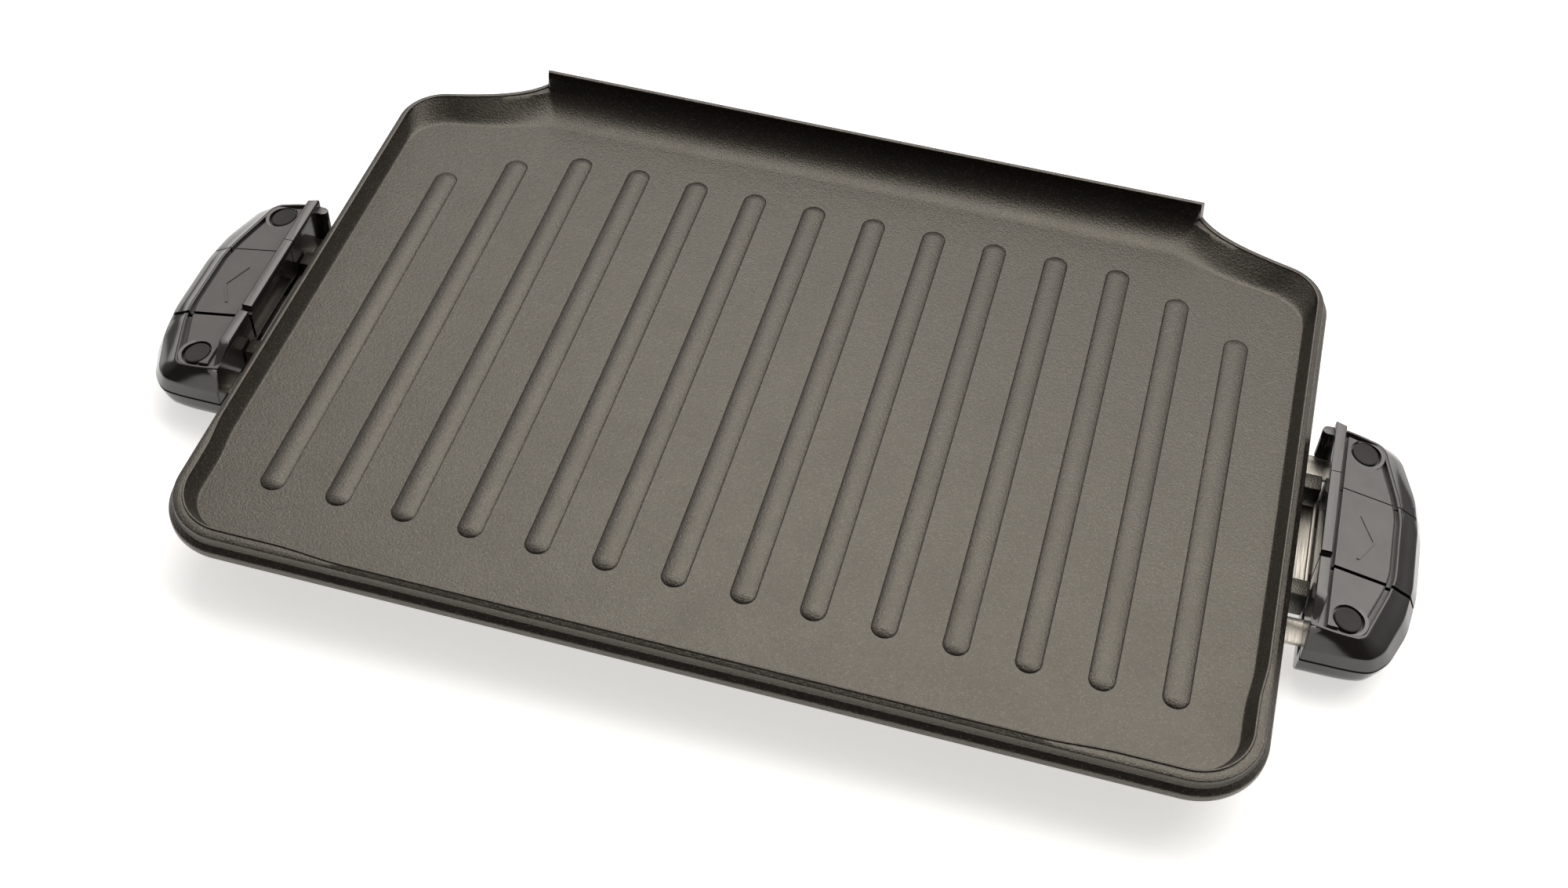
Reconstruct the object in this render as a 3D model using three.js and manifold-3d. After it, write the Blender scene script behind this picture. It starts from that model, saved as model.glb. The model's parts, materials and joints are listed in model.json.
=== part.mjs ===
// Electric griddle: a ribbed cast plate that is held between two hand grips with pull-out releases,
// over a reflector pan with a sheathed heating element and a rear inlet for a plug-in thermostat.
// Millimetres. X runs along the plate, +Y is the rear (splash wall), +Z is up, z = 0 is the table top.
import * as THREE from "three";
import { mergeVertices } from "three/addons/utils/BufferGeometryUtils.js";
import Module from "manifold-3d";

const wasm = await Module();
wasm.setup();

// ---- Driving sizes -------------------------------------------------------------------------
const gap = 0.3; // clearance between pieces that touch
const floorHeight = 25; // cooking surface above the table top

const plateLength = 391.2; // across the rim's outer faces
const plateDepth = 267.3;
const plateFloorThickness = 4.5;
const rimHeight = 7.1; // above the cooking surface
const rimThickness = 2.8;
const rimFillet = 3.6; // how far the rim's inner foot reaches in
const beadReach = 2.4; // bead around the foot of the rim
const beadHeight = 1.6; // from the bead's edge up to the rim's face
const frontCornerRadius = 24;
const rearCornerRadius = 19.5;
const splashHeight = 15;
const splashEndMargin = 52.9; // from the rim's side to the end of the splash wall
const splashEndStep = 0.8; // the splash wall's ends rise from the rim within this length
const splashCove = 16.2; // depth of the hollow curve at the foot of the splash wall
const rearSetback = 37.7; // from the splash wall's back to the centre of a rear corner

const ribCount = 14;
const ribSideMargin = 30.5; // rim's side to the middle of the outermost rib
const ribWidth = 9.6;
const ribHeight = 2.4;
const ribFrontMargin = 30.2; // rim's front face to the rib tips
const ribRearMargin = 34.7;
const ribSecondStep = 9.4; // the last ribs but one stop this much earlier
const ribOuterStep = 25.1; // and the outermost ribs this much earlier

const gripOffsetY = -12; // middle of a grip from the middle of the plate
const gripClearance = 9.8; // between the rim's side and a grip
const gripSeamDrop = 10.7; // seam between the shells below the cooking surface
const gripBottomHeight = 2; // underside of a grip above the table top
const gripHalfLength = 51.3;
const gripWidth = 38.2; // from the inner side to the outermost edge at the seam
const gripWall = 2.2;
const gripFaceRise = 2.7; // top face at the screw, above the cooking surface
const gripFaceSlope = 0.206; // fall of the top face towards the outside
const railHeight = 8.6; // inner rail above the cooking surface
const railWidth = 4.2;
const earReach = 4; // the rounded stop at the rear end stands this far towards the plate
const earHalf = 2.1;
const earEndMargin = 6.3; // its middle from the grip's rear end
const earRise = 4.6; // its top above the cooking surface

const slideEndMargin = 32.2; // from a grip's end to the bay of the release slide
const slideFrontGap = 1.5;
const slideRearGap = 0.5;
const slideTravel = 5;

const screwReach = 13.1; // screw axis from the grip's inner side
const screwEndMargin = 12.2; // screw axis from the grip's end
const screwRadius = 1.7;
const screwHeadRadius = 3.5;
const screwHeadHeight = 2;
const screwHeadDrop = 2.7; // top of the screw's head below the cooking surface
const screwFootRise = 2.5; // point of the screw above the grip's underside
const capRadius = 5.25;
const capHeight = 1.8;

const strapWidth = 11;
const strapThickness = 1.5;
const strapDrop = 10.85; // strap ends' top below the cooking surface
const strapLowDrop = 15.9; // strap's top under the plate
const strapBendMargin = 9.6; // from the rim's side to the strap's upper bend
const strapBendLength = 15;

const lugClearance = 0.6; // between a lug and the grip
const lugLength = 20.8;
const lugWidth = 7.2;
const lugSlideMargin = 2.5; // from the bay of the slide to the near side of a lug
const lugTopDrop = 3.5;
const lugBottomDrop = 15.5;
const keeperWidth = 7;
const keeperBottomDrop = 11.9;
const keeperTopDrop = 6;

const latchThickness = 1;
const latchLipWidth = 7.3;
const latchLipHeight = 3.4;
const latchTongueLength = 5;
const latchKeeperGap = 1.5; // between the keeper and the latch's lip
const latchTabDrop = 6;
const slideLegMargin = 8.4; // slide's leg and latch screw from the end of the latch's tail
const slideLegRadius = 3.4;
const latchScrewRadius = 1.2;
const latchScrewHeadRadius = 2.3;
const springStopMargin = 8.2; // rib that backs the spring, from the grip's outermost edge
const springStopThickness = 2;
const springRadius = 2;
const springWire = 0.7;
const springTurns = 5;
const springShortest = 6; // room for the spring when the slide is pulled right out

const footRadius = 6;
const footRecess = 1; // depth of its seat in the grip's underside
const footEndMargin = 17.3; // its middle from the grip's end

const panSideMargin = 30.6; // from the rim's outer face to the pan
const panFrontMargin = 32.65;
const panRearMargin = 44.65;
const panSheet = 1;
const panWall = 9.6;
const panCornerRadius = 20;
const panGap = 0.3;
const panScrewMargin = 25; // from the pan's side to the screws in the straps

const elementRadius = 3.3;
const elementTopGap = 0.3;
const elementSideMargin = 22; // from the pan's side to the element's outer runs
const elementFrontMargin = 19;
const elementInnerHalf = 50; // half the distance between the two inner runs
const elementMiddleMargin = 77; // from the pan's rear to the run that joins the inner runs
const elementRearMargin = 55; // from the pan's rear to the element's rear runs
const elementBend = 18;
const supportSize = 11;
const supportStrapGap = 7.6; // between the front strap and the screws of the inner supports

const pinSpacing = 25;
const pinRadius = 2.4;
const inletDrop = 9.8; // underside of the inlet below its pins
const inletTopGap = 0.4;
const inletWall = 2.2;
const inletDepth = 30;
const inletFlange = 3;
const inletSideRoom = 5; // between a pin and the side of the inlet
const inletScrewRoom = 3.1; // from the side of the inlet to its screws
const inletScrewMargin = 5; // and from there to the flange's edge
const inletBlockDepth = 12;
const probeRadius = 3.2;
const probeWall = 0.8;
const probeLength = 55;

const postHeadRadius = 3;

// ---- Places along the plate ----------------------------------------------------------------
const halfLength = plateLength / 2;
const halfDepth = plateDepth / 2;
const splashHalfLength = halfLength - splashEndMargin;
const rearCornerY = halfDepth - rearSetback;
const ribPitch = (plateLength - 2 * ribSideMargin) / (ribCount - 1);

const gripInner = halfLength + gripClearance; // inner side of a grip from the plate's centre line
const slideHalfLength = gripHalfLength - slideEndMargin;
const screwSpread = gripHalfLength - screwEndMargin;
const screwX = gripInner + screwReach;
const footX = gripInner + gripWidth / 2;
const footSpread = gripHalfLength - footEndMargin;
const springStopReach = gripWidth - springStopMargin; // from the grip's inner side
const latchTailReach = springStopReach - slideTravel - springShortest;
const latchTailHalfWidth = slideHalfLength - 8.1;
const slideLegReach = latchTailReach - slideLegMargin;

const lugReach = gripInner - lugClearance; // outer end of a lug from the centre line
const lugRoot = lugReach - lugLength;
const lugNear = slideHalfLength + lugSlideMargin; // sides of a lug from the grip's middle
const lugFar = lugNear + lugWidth;
const latchLipInner = lugReach - latchLipWidth;
const latchTongueInner = latchLipInner - latchTongueLength;
const keeperOuter = latchLipInner - latchKeeperGap;
const keeperInner = keeperOuter - keeperWidth;
const strapBendEnd = halfLength - strapBendMargin;
const strapBendStart = strapBendEnd - strapBendLength;

const panLength = plateLength - 2 * panSideMargin;
const panDepth = plateDepth - panFrontMargin - panRearMargin;
const panY = (panFrontMargin - panRearMargin) / 2;
const panRear = panY + panDepth / 2;
const panScrewX = panLength / 2 - panScrewMargin;
const elementHalfLength = panLength / 2 - elementSideMargin;
const elementFront = panY - panDepth / 2 + elementFrontMargin;
const elementMiddle = panRear - elementMiddleMargin;
const elementRear = panRear - elementRearMargin;

const pinX = pinSpacing / 2;
const inletHalfWidth = pinX + pinRadius + inletSideRoom;
const inletScrewX = inletHalfWidth + inletScrewRoom;
const flangeHalfWidth = inletScrewX + inletScrewMargin;

// ---- Heights above the table top -----------------------------------------------------------
const plateUnderside = floorHeight - plateFloorThickness;
const seamHeight = floorHeight - gripSeamDrop;
const strapTop = floorHeight - strapDrop;
const strapLowTop = floorHeight - strapLowDrop;
const latchTop = strapTop - strapThickness - gap;
const panBottom = strapLowTop + panGap;
const panFloor = panBottom + panSheet;
const elementHeight = plateUnderside - elementTopGap - elementRadius;
const inletHeight = panFloor + probeRadius + 2 * gap; // axis of the inlet's pins
const rimTop = floorHeight + rimHeight;
const screwFootHeight = gripBottomHeight + screwFootRise;
const footSeat = gripBottomHeight + footRecess;

// ---- Colours -------------------------------------------------------------------------------
function finish(color, roughness, metalness) {
  return new THREE.MeshStandardMaterial({ color, roughness, metalness });
}


const nonStick = () => finish(0x57514d, 0.55, 0.2);
const blackPlastic = () => finish(0x2a2728, 0.3, 0);
const darkRubber = () => finish(0x2e2b2a, 0.85, 0);
const stainless = () => finish(0xc9c5bc, 0.3, 1);
const zincSteel = () => finish(0x9a9a98, 0.4, 1);
const aluminised = () => finish(0xa8a8a4, 0.45, 1);
const darkSheath = () => finish(0x4a4644, 0.5, 0.8);
const phenolic = () => finish(0x1d1b1b, 0.6, 0);
const ceramicWhite = () => finish(0xd8d2c4, 0.7, 0);
const nickelBrass = () => finish(0xb8ae98, 0.3, 1);

// ---- Solids --------------------------------------------------------------------------------
// A closed geometry as a solid that can be cut and joined.
function solid(geometry) {
  const plain = geometry.index ? geometry.toNonIndexed() : geometry.clone();
  plain.deleteAttribute("normal");
  plain.deleteAttribute("uv");
  const merged = mergeVertices(plain, 1e-4);
  const triVerts = new Uint32Array(merged.index.array);
  const vertProperties = new Float32Array(merged.attributes.position.array);
  return new wasm.Manifold(new wasm.Mesh({ numProp: 3, vertProperties, triVerts }));
}

// A solid back as a geometry.
function geometryOf(part) {
  const mesh = part.getMesh();
  const geometry = new THREE.BufferGeometry();
  geometry.setAttribute("position", new THREE.BufferAttribute(mesh.vertProperties, 3));
  geometry.setIndex(new THREE.BufferAttribute(mesh.triVerts, 1));
  const flat = geometry.toNonIndexed();
  flat.computeVertexNormals();
  return flat;
}

const join = (first, ...rest) => rest.reduce((sum, part) => sum.add(part), first);
const cut = (first, ...rest) => rest.reduce((left, part) => left.subtract(part), first);

// A box given by its two corners.
function block(low, high) {
  const size = high.map((value, axis) => value - low[axis]);
  const middle = high.map((value, axis) => (value + low[axis]) / 2);
  return solid(new THREE.BoxGeometry(...size).translate(...middle));
}

// An upright cylinder; it can taper.
function post(x, y, bottom, top, radius, topRadius = radius, sides = 14) {
  const height = top - bottom;
  const shape = new THREE.CylinderGeometry(topRadius, radius, height, sides);
  return solid(shape.rotateX(Math.PI / 2).translate(x, y, (top + bottom) / 2));
}

// A cylinder that lies along Y.
function rod(x, z, front, rear, radius, sides = 12) {
  const shape = new THREE.CylinderGeometry(radius, radius, rear - front, sides);
  return solid(shape.translate(x, (front + rear) / 2, z));
}

// A shape in the XY plane, raised from bottom to top.
function raised(shape, bottom, top, curveSegments = 5) {
  const depth = top - bottom;
  const body = new THREE.ExtrudeGeometry(shape, { depth, bevelEnabled: false, curveSegments });
  return solid(body.translate(0, 0, bottom));
}

function roundedRectangle(halfX, halfY, radius, centreY = 0) {
  const shape = new THREE.Shape();
  shape.absarc(halfX - radius, centreY + halfY - radius, radius, 0, Math.PI / 2);
  shape.absarc(radius - halfX, centreY + halfY - radius, radius, Math.PI / 2, Math.PI);
  shape.absarc(radius - halfX, centreY - halfY + radius, radius, Math.PI, Math.PI * 1.5);
  shape.absarc(halfX - radius, centreY - halfY + radius, radius, Math.PI * 1.5, Math.PI * 2);
  return shape;
}

// A closed solid through rings of points that all have the same count. The first and last rings are capped.
// Rings run anticlockwise seen from above, from the bottom of the outside round to the last ring.
function loft(rings) {
  const count = rings[0].length;
  const positions = rings.flat().flatMap((point) => [point.x, point.y, point.z]);
  const index = [];
  for (let level = 0; level + 1 < rings.length; level += 1) {
    for (let side = 0; side < count; side += 1) {
      const next = (side + 1) % count;
      const lowA = level * count + side;
      const lowB = level * count + next;
      index.push(lowA, lowB, lowB + count, lowA, lowB + count, lowA + count);
    }
  }
  const flatRing = (ring) => ring.map((point) => new THREE.Vector2(point.x, point.y));
  for (const [a, b, c] of THREE.ShapeUtils.triangulateShape(flatRing(rings[0]), [])) index.push(c, b, a);
  const last = (rings.length - 1) * count;
  for (const [a, b, c] of THREE.ShapeUtils.triangulateShape(flatRing(rings.at(-1)), [])) {
    index.push(last + a, last + b, last + c);
  }
  const geometry = new THREE.BufferGeometry();
  geometry.setAttribute("position", new THREE.Float32BufferAttribute(positions, 3));
  geometry.setIndex(index);
  return solid(geometry);
}

const griddle = new THREE.Group();

function add(name, part, material, group = griddle) {
  const mesh = new THREE.Mesh(part.isBufferGeometry ? part : geometryOf(part), material);
  mesh.name = name;
  group.add(mesh);
  return mesh;
}

// ---- Griddle plate -------------------------------------------------------------------------
// Right half of an outline drawn inset from the rim's outer face, from the front middle to the rear middle.
// Every outline has the same points per stretch, so rings drawn with other insets match it.
function rightOutline(inset) {
  const side = halfLength - inset;
  const front = -halfDepth + inset;
  const path = new THREE.Path();
  const frontRadius = frontCornerRadius - inset;
  const rearRadius = rearCornerRadius - inset;
  const cornerX = halfLength - rearCornerRadius;
  const turn = (75 * Math.PI) / 180;
  path.moveTo(0, front);
  path.lineTo(side - frontRadius, front);
  path.absarc(side - frontRadius, front + frontRadius, frontRadius, -Math.PI / 2, 0);
  path.lineTo(side, rearCornerY);
  path.absarc(cornerX, rearCornerY, rearRadius, 0, turn);
  const shoulderX = cornerX + rearRadius * Math.cos(turn);
  const shoulderY = rearCornerY + rearRadius * Math.sin(turn);
  const endX = splashHalfLength - inset * 0.4;
  const endY = halfDepth - inset;
  path.bezierCurveTo(shoulderX - 17.4, shoulderY + 4.7, endX + 7.2, endY - 9.6, endX, endY);
  path.lineTo(endX - splashEndStep, endY);
  path.lineTo(0, endY);
  return path;
}

// Right half of the line where the cooking surface meets the rim's fillet and the splash wall's hollow curve.
function rightFloorLine() {
  const side = halfLength - rimThickness - rimFillet;
  const front = -halfDepth + rimThickness + rimFillet;
  const radius = frontCornerRadius - rimThickness - rimFillet;
  const rear = halfDepth - rimThickness - splashCove;
  const path = new THREE.Path();
  path.moveTo(0, front);
  path.lineTo(side - radius, front);
  path.absarc(side - radius, front + radius, radius, -Math.PI / 2, 0);
  path.lineTo(side, rearCornerY - 12);
  path.bezierCurveTo(side, rearCornerY, side - 6, rearCornerY + 6, side - 20, rearCornerY + 8);
  const wallFoot = splashHalfLength - 12; // the hollow curve meets the straight foot of the splash wall here
  path.bezierCurveTo(side - 40, rearCornerY + 11, wallFoot + 16, rear - 3, wallFoot, rear - 1);
  path.lineTo(wallFoot - splashEndStep, rear - 1);
  path.lineTo(0, rear);
  return path;
}

const stretchPoints = [2, 6, 3, 5, 6, 1, 3];

// All round from a right half, with each stretch in its own number of steps, anticlockwise from above.
function allRound(path) {
  const right = [];
  path.curves.forEach((curve, stretch) => {
    right.push(...curve.getPoints(stretchPoints[stretch]).slice(0, -1));
  });
  const rearMiddle = path.curves.at(-1).getPoint(1);
  const left = right.slice(1).reverse().map((point) => new THREE.Vector2(-point.x, point.y));
  return [...right, rearMiddle, ...left];
}

// Which points of an outline belong to the splash wall.
const splashStart = stretchPoints.slice(0, 6).reduce((sum, steps) => sum + steps, 0);
const ringCount = allRound(rightOutline(0)).length;
const isSplash = (place) => place >= splashStart && place <= ringCount - splashStart;

function ringAt(inset, height, splashExtra = 0) {
  return allRound(rightOutline(inset)).map(
    (point, place) => new THREE.Vector3(point.x, point.y, height + (isSplash(place) ? splashExtra : 0)),
  );
}

function makePlateBody() {
  const rise = splashHeight - rimHeight;
  const rimInner = ringAt(rimThickness, rimTop, rise);
  const floorLine = allRound(rightFloorLine());
  const filletSteps = 4;
  const rings = [
    ringAt(9, plateUnderside),
    ringAt(3, plateUnderside + 1),
    ringAt(-beadReach, plateUnderside + 2.6),
    ringAt(-beadReach, floorHeight + 1),
    ringAt(0, floorHeight + 1 + beadHeight),
    ringAt(0, rimTop, rise),
  ];
  for (let step = 0; step < filletSteps; step += 1) {
    const angle = ((step / filletSteps) * Math.PI) / 2;
    const inward = 1 - Math.cos(angle);
    const down = Math.sin(angle);
    rings.push(
      rimInner.map((top, place) => {
        const foot = floorLine[place];
        return new THREE.Vector3(
          THREE.MathUtils.lerp(top.x, foot.x, inward),
          THREE.MathUtils.lerp(top.y, foot.y, inward),
          THREE.MathUtils.lerp(top.z, floorHeight, down),
        );
      }),
    );
  }
  rings.push(floorLine.map((point) => new THREE.Vector3(point.x, point.y, floorHeight)));
  return loft(rings);
}

// A rib with round ends and a rounded back, standing on the cooking surface.
function makeRib(place) {
  const x = (place - (ribCount - 1) / 2) * ribPitch;
  const fromEdge = Math.min(place, ribCount - 1 - place);
  const rearStep = [ribOuterStep, ribSecondStep][fromEdge] ?? 0;
  const front = -halfDepth + ribFrontMargin;
  const rear = halfDepth - ribRearMargin - rearStep;
  const edge = ribHeight * 0.8;
  const radius = ribWidth / 2 - edge;
  const shape = new THREE.Shape();
  shape.absarc(x, rear - ribWidth / 2, radius, 0, Math.PI);
  shape.absarc(x, front + ribWidth / 2, radius, Math.PI, Math.PI * 2);
  const root = 1;
  const rib = new THREE.ExtrudeGeometry(shape, {
    depth: root,
    bevelThickness: ribHeight,
    bevelSize: edge,
    bevelSegments: 2,
    curveSegments: 3,
  });
  const body = solid(rib.translate(0, 0, floorHeight - root));
  const belowLow = [x - ribWidth, front - ribWidth, floorHeight - plateFloorThickness * 2];
  return body.subtract(block(belowLow, [x + ribWidth, rear + ribWidth, floorHeight - root]));
}

// A block at both ends of the plate: its reach from the centre line, and its sides from the grip's middle.
function endBlocks(reach, across, heights) {
  const [near, far] = [Math.min(...across), Math.max(...across)];
  return [-1, 1].map((side) => {
    const [left, right] = [Math.min(...reach.map((x) => side * x)), Math.max(...reach.map((x) => side * x))];
    return block([left, gripOffsetY + near, heights[0]], [right, gripOffsetY + far, heights[1]]);
  });
}

function makeGriddlePlate() {
  const lugTop = floorHeight - lugTopDrop;
  const lugHeights = [floorHeight - lugBottomDrop, lugTop];
  const restHeights = [strapTop + gap, lugTop];
  const restHalf = strapWidth / 2 - 1;
  const restLength = 7;
  const keeperSides = [-lugNear - 1, lugNear + 1];
  const keeperRoof = floorHeight - keeperTopDrop;
  const webInset = keeperWidth / 4;
  let plate = makePlateBody();
  for (let place = 0; place < ribCount; place += 1) plate = plate.add(makeRib(place));
  for (const end of [-1, 1]) {
    const rest = end * screwSpread;
    const restReach = [strapBendEnd + 1, strapBendEnd + 1 + restLength];
    plate = join(
      plate,
      ...endBlocks([lugRoot, lugReach], [end * lugNear, end * lugFar], lugHeights),
      ...endBlocks(restReach, [rest - restHalf, rest + restHalf], restHeights),
    );
  }
  return join(
    plate,
    ...endBlocks([keeperInner, keeperOuter], keeperSides, [floorHeight - keeperBottomDrop, keeperRoof]),
    ...endBlocks([keeperInner + webInset, keeperOuter - webInset], keeperSides, [keeperRoof - 1, lugTop]),
  );
}

add("griddle_plate", makeGriddlePlate(), nonStick());

// ---- Cross straps --------------------------------------------------------------------------
const strapEnd = gripInner + screwReach + 7;

// Side view of a strap: high at both grips and low under the pan.
function strapProfile(half) {
  const shape = new THREE.Shape();
  shape.moveTo(-half, strapTop);
  const bends = [
    [-strapBendEnd, strapTop],
    [-strapBendStart, strapLowTop],
    [strapBendStart, strapLowTop],
    [strapBendEnd, strapTop],
    [half, strapTop],
  ];
  bends.forEach(([x, z]) => shape.lineTo(x, z));
  [[half, strapTop], ...bends.slice(0, -1).reverse(), [-half, strapTop]].forEach(([x, z]) => {
    shape.lineTo(x, z - strapThickness);
  });
  return shape;
}

function makeStrap(middleY) {
  const profile = strapProfile(strapEnd);
  const body = new THREE.ExtrudeGeometry(profile, { depth: strapWidth, bevelEnabled: false });
  let strap = solid(body.rotateX(Math.PI / 2).translate(0, middleY + strapWidth / 2, 0));
  for (const side of [-1, 1]) {
    const hole = (x, radius) => post(side * x, middleY, 0, floorHeight, radius);
    strap = cut(strap, hole(gripInner + screwReach, screwRadius + gap), hole(panScrewX, screwRadius + gap));
  }
  return strap;
}

const strapY = { front: gripOffsetY - screwSpread, rear: gripOffsetY + screwSpread };
for (const [place, y] of Object.entries(strapY)) add(`strap_${place}`, makeStrap(y), stainless());

// ---- Grips ---------------------------------------------------------------------------------
// One grip is drawn at the right end of the plate, and its mirror image goes to the left end.
// Its plan points run anticlockwise; "half" is the distance from the grip's middle along Y.
const faceHeight = (x) => floorHeight + gripFaceRise - gripFaceSlope * (x - gripInner - screwReach);

// reach and half describe one level of the outer surface; inset draws it smaller by a wall.
// Each point has its X and its share of half the length.
function gripRing(reach, half, bulge, inset, heightAt) {
  const inner = gripInner + inset;
  const outer = gripInner + reach - inset;
  const end = half - inset;
  const points = [
    [inner, 1],
    [outer - gripWidth * 0.524, 1],
    [outer - gripWidth * 0.34, 0.98],
    [outer - gripWidth * 0.196, 0.865],
    [outer - bulge, 0.59],
    [outer, 0.26],
  ];
  const ring = [...points.map(([x, share]) => [x, -share]), ...points.reverse()];
  return ring.map(([x, share]) => new THREE.Vector3(x, gripOffsetY + end * share, heightAt(x)));
}

const shoulderDrop = 4.2; // the steep band under the bevel starts this far below the cooking surface
const shoulderReach = gripWidth - 2.6;
const faceReach = gripWidth - 8.9;
const faceHalf = gripHalfLength - 4.3;

// The upper half of the grip without its rail, drawn smaller by a wall and ended below the seam.
function upperForm(inset, bottom) {
  return loft([
    gripRing(gripWidth, gripHalfLength, 2.2, inset, () => bottom),
    gripRing(shoulderReach, gripHalfLength - 0.5, 2.2, inset, () => floorHeight - shoulderDrop - inset / 2),
    gripRing(faceReach, faceHalf, 1.8, inset, (x) => faceHeight(x) - inset),
  ]);
}

function railForm() {
  return block(
    [gripInner, gripOffsetY - faceHalf, floorHeight - 2],
    [gripInner + railWidth, gripOffsetY + faceHalf, floorHeight + railHeight],
  );
}

const upperBottom = seamHeight + gap / 2;
const slideFloor = seamHeight + 3.6; // underside of the slide
const skirtReach = 8; // the slide's outer skirt comes down to the seam within this width

// Seat of a screw cap, square to the sloping face.
function capSeat(y, radius, height, sink) {
  const shape = new THREE.CylinderGeometry(radius, radius, height, 24).rotateX(Math.PI / 2);
  shape.translate(0, 0, height / 2 - sink);
  shape.rotateY(Math.atan(gripFaceSlope));
  return solid(shape.translate(screwX, y, faceHeight(screwX)));
}

// Rounded stop on the inner side, at the rear end.
function earForm() {
  const y = gripOffsetY + gripHalfLength - earEndMargin;
  const roundX = gripInner - earReach + earHalf;
  const bottom = upperBottom + gap;
  const top = floorHeight + earRise;
  const arm = block([roundX, y - earHalf, bottom], [gripInner + gripWall, y + earHalf, top]);
  return arm.add(post(roundX, y, bottom, top, earHalf, earHalf, 12));
}

function makeGripTop() {
  const whole = join(upperForm(0, upperBottom), railForm(), earForm());
  const far = gripInner + gripWidth + 5;
  const bayFront = gripOffsetY - slideHalfLength;
  const bayRear = gripOffsetY + slideHalfLength;
  const bay = block([gripInner - 1, bayFront, slideFloor - gap], [far, bayRear, floorHeight + 20]);
  const skirtBay = block([gripInner + gripWidth - skirtReach, bayFront, 0], [far, bayRear, floorHeight]);
  const bayWall = slideHalfLength + gripWall;
  const hollow = upperForm(gripWall, upperBottom - 1);
  const bayBlock = block(
    [gripInner, gripOffsetY - bayWall, 0],
    [gripInner + gripWidth - 5, gripOffsetY + bayWall, floorHeight + 20],
  );
  const passage = block(
    [gripInner - 1, gripOffsetY - lugNear, 0],
    [gripInner + latchTailReach + slideTravel, gripOffsetY + lugNear, slideFloor - 0.4],
  );
  const well = block(
    [gripInner - 1, gripOffsetY - latchTailHalfWidth - 3, 0],
    [gripInner + latchTailReach + slideTravel, gripOffsetY + latchTailHalfWidth + 3, floorHeight],
  );
  let top = cut(whole, hollow.subtract(bayBlock), bay, skirtBay, passage, well);
  for (const end of [-1, 1]) {
    const y = gripOffsetY + end * screwSpread;
    const seatDepth = capHeight + 0.2;
    const column = post(screwX, y, strapTop + gap, faceHeight(screwX) - 1, 5, 7.2);
    const headSeat = floorHeight - screwHeadDrop - screwHeadHeight - gap;
    const head = post(screwX, y, headSeat, floorHeight + railHeight, screwHeadRadius + gap);
    const shank = post(screwX, y, 0, floorHeight, screwRadius + gap);
    top = cut(top.add(column), head, shank, capSeat(y, capRadius + gap, seatDepth + 6, seatDepth));
  }
  return top;
}

// Middle third of the upper shell: face, rail and skirt, open below, with a leg for the latch plate.
function makeReleaseSlide() {
  const front = gripOffsetY - slideHalfLength + slideFrontGap;
  const rear = gripOffsetY + slideHalfLength - slideRearGap;
  const far = gripInner + gripWidth + 5;
  const span = block([gripInner - 1, front, slideFloor], [far, rear, floorHeight + 20]);
  const skirtInner = gripInner + gripWidth - skirtReach + gap;
  const skirtSpan = block([skirtInner, front, upperBottom], [far, rear, slideFloor + 1]);
  const outside = upperForm(0, upperBottom).add(railForm());
  const inside = upperForm(gripWall, upperBottom - 1);
  const insideSpan = block([gripInner, front + gripWall, 0], [far, rear - gripWall, floorHeight + 20]);
  const shell = cut(outside.intersect(span.add(skirtSpan)), inside.intersect(insideSpan));
  const legX = gripInner + slideLegReach;
  const leg = post(legX, gripOffsetY, latchTop + gap, faceHeight(legX) - 1, slideLegRadius);
  const hole = post(legX, gripOffsetY, 0, floorHeight - 2, latchScrewRadius + gap);
  return cut(shell.add(leg), hole);
}

// Stainless latch plate: tail under the slide, channel-shaped lip between the lugs, tongue under the keeper.
function makeLatchPlate() {
  const bottom = latchTop - latchThickness;
  const lipHalf = lugNear - 0.8;
  const tongueHalf = lipHalf - 4;
  const tabX = gripInner + latchTailReach;
  const tabHalf = springRadius + springWire + 1.5;
  const slab = (inner, outer, half, low, high) =>
    block([inner, gripOffsetY - half, low], [outer, gripOffsetY + half, high]);
  const flange = (x) => slab(x, x + latchThickness, lipHalf, bottom, latchTop + latchLipHeight);
  const plate = join(
    slab(latchTongueInner, latchLipInner + 1, tongueHalf, bottom, latchTop),
    slab(latchLipInner, lugReach, lipHalf, bottom, latchTop),
    flange(latchLipInner),
    flange(lugReach - latchThickness),
    slab(lugReach - 1, tabX, latchTailHalfWidth, bottom, latchTop),
    slab(tabX - latchThickness, tabX, tabHalf, latchTop - latchTabDrop, latchTop),
  );
  return plate.subtract(post(gripInner + slideLegReach, gripOffsetY, 0, floorHeight, latchScrewRadius + gap));
}

// A screw that points up (turn = 1) or down (turn = -1), with a shallow domed head at its foot or top.
function makeScrew(x, y, headFace, tip, radius, headRadius, headHeight) {
  const turn = Math.sign(tip - headFace);
  const shankLow = Math.min(headFace, tip);
  const shankHigh = Math.max(headFace, tip);
  const shank = post(x, y, shankLow, shankHigh, radius, radius, 10);
  const overlap = 0.2;
  const head =
    turn > 0
      ? post(x, y, headFace - headHeight, headFace + overlap, headRadius * 0.72, headRadius)
      : post(x, y, headFace - overlap, headFace + headHeight, headRadius, headRadius * 0.72);
  return shank.add(head);
}

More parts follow.
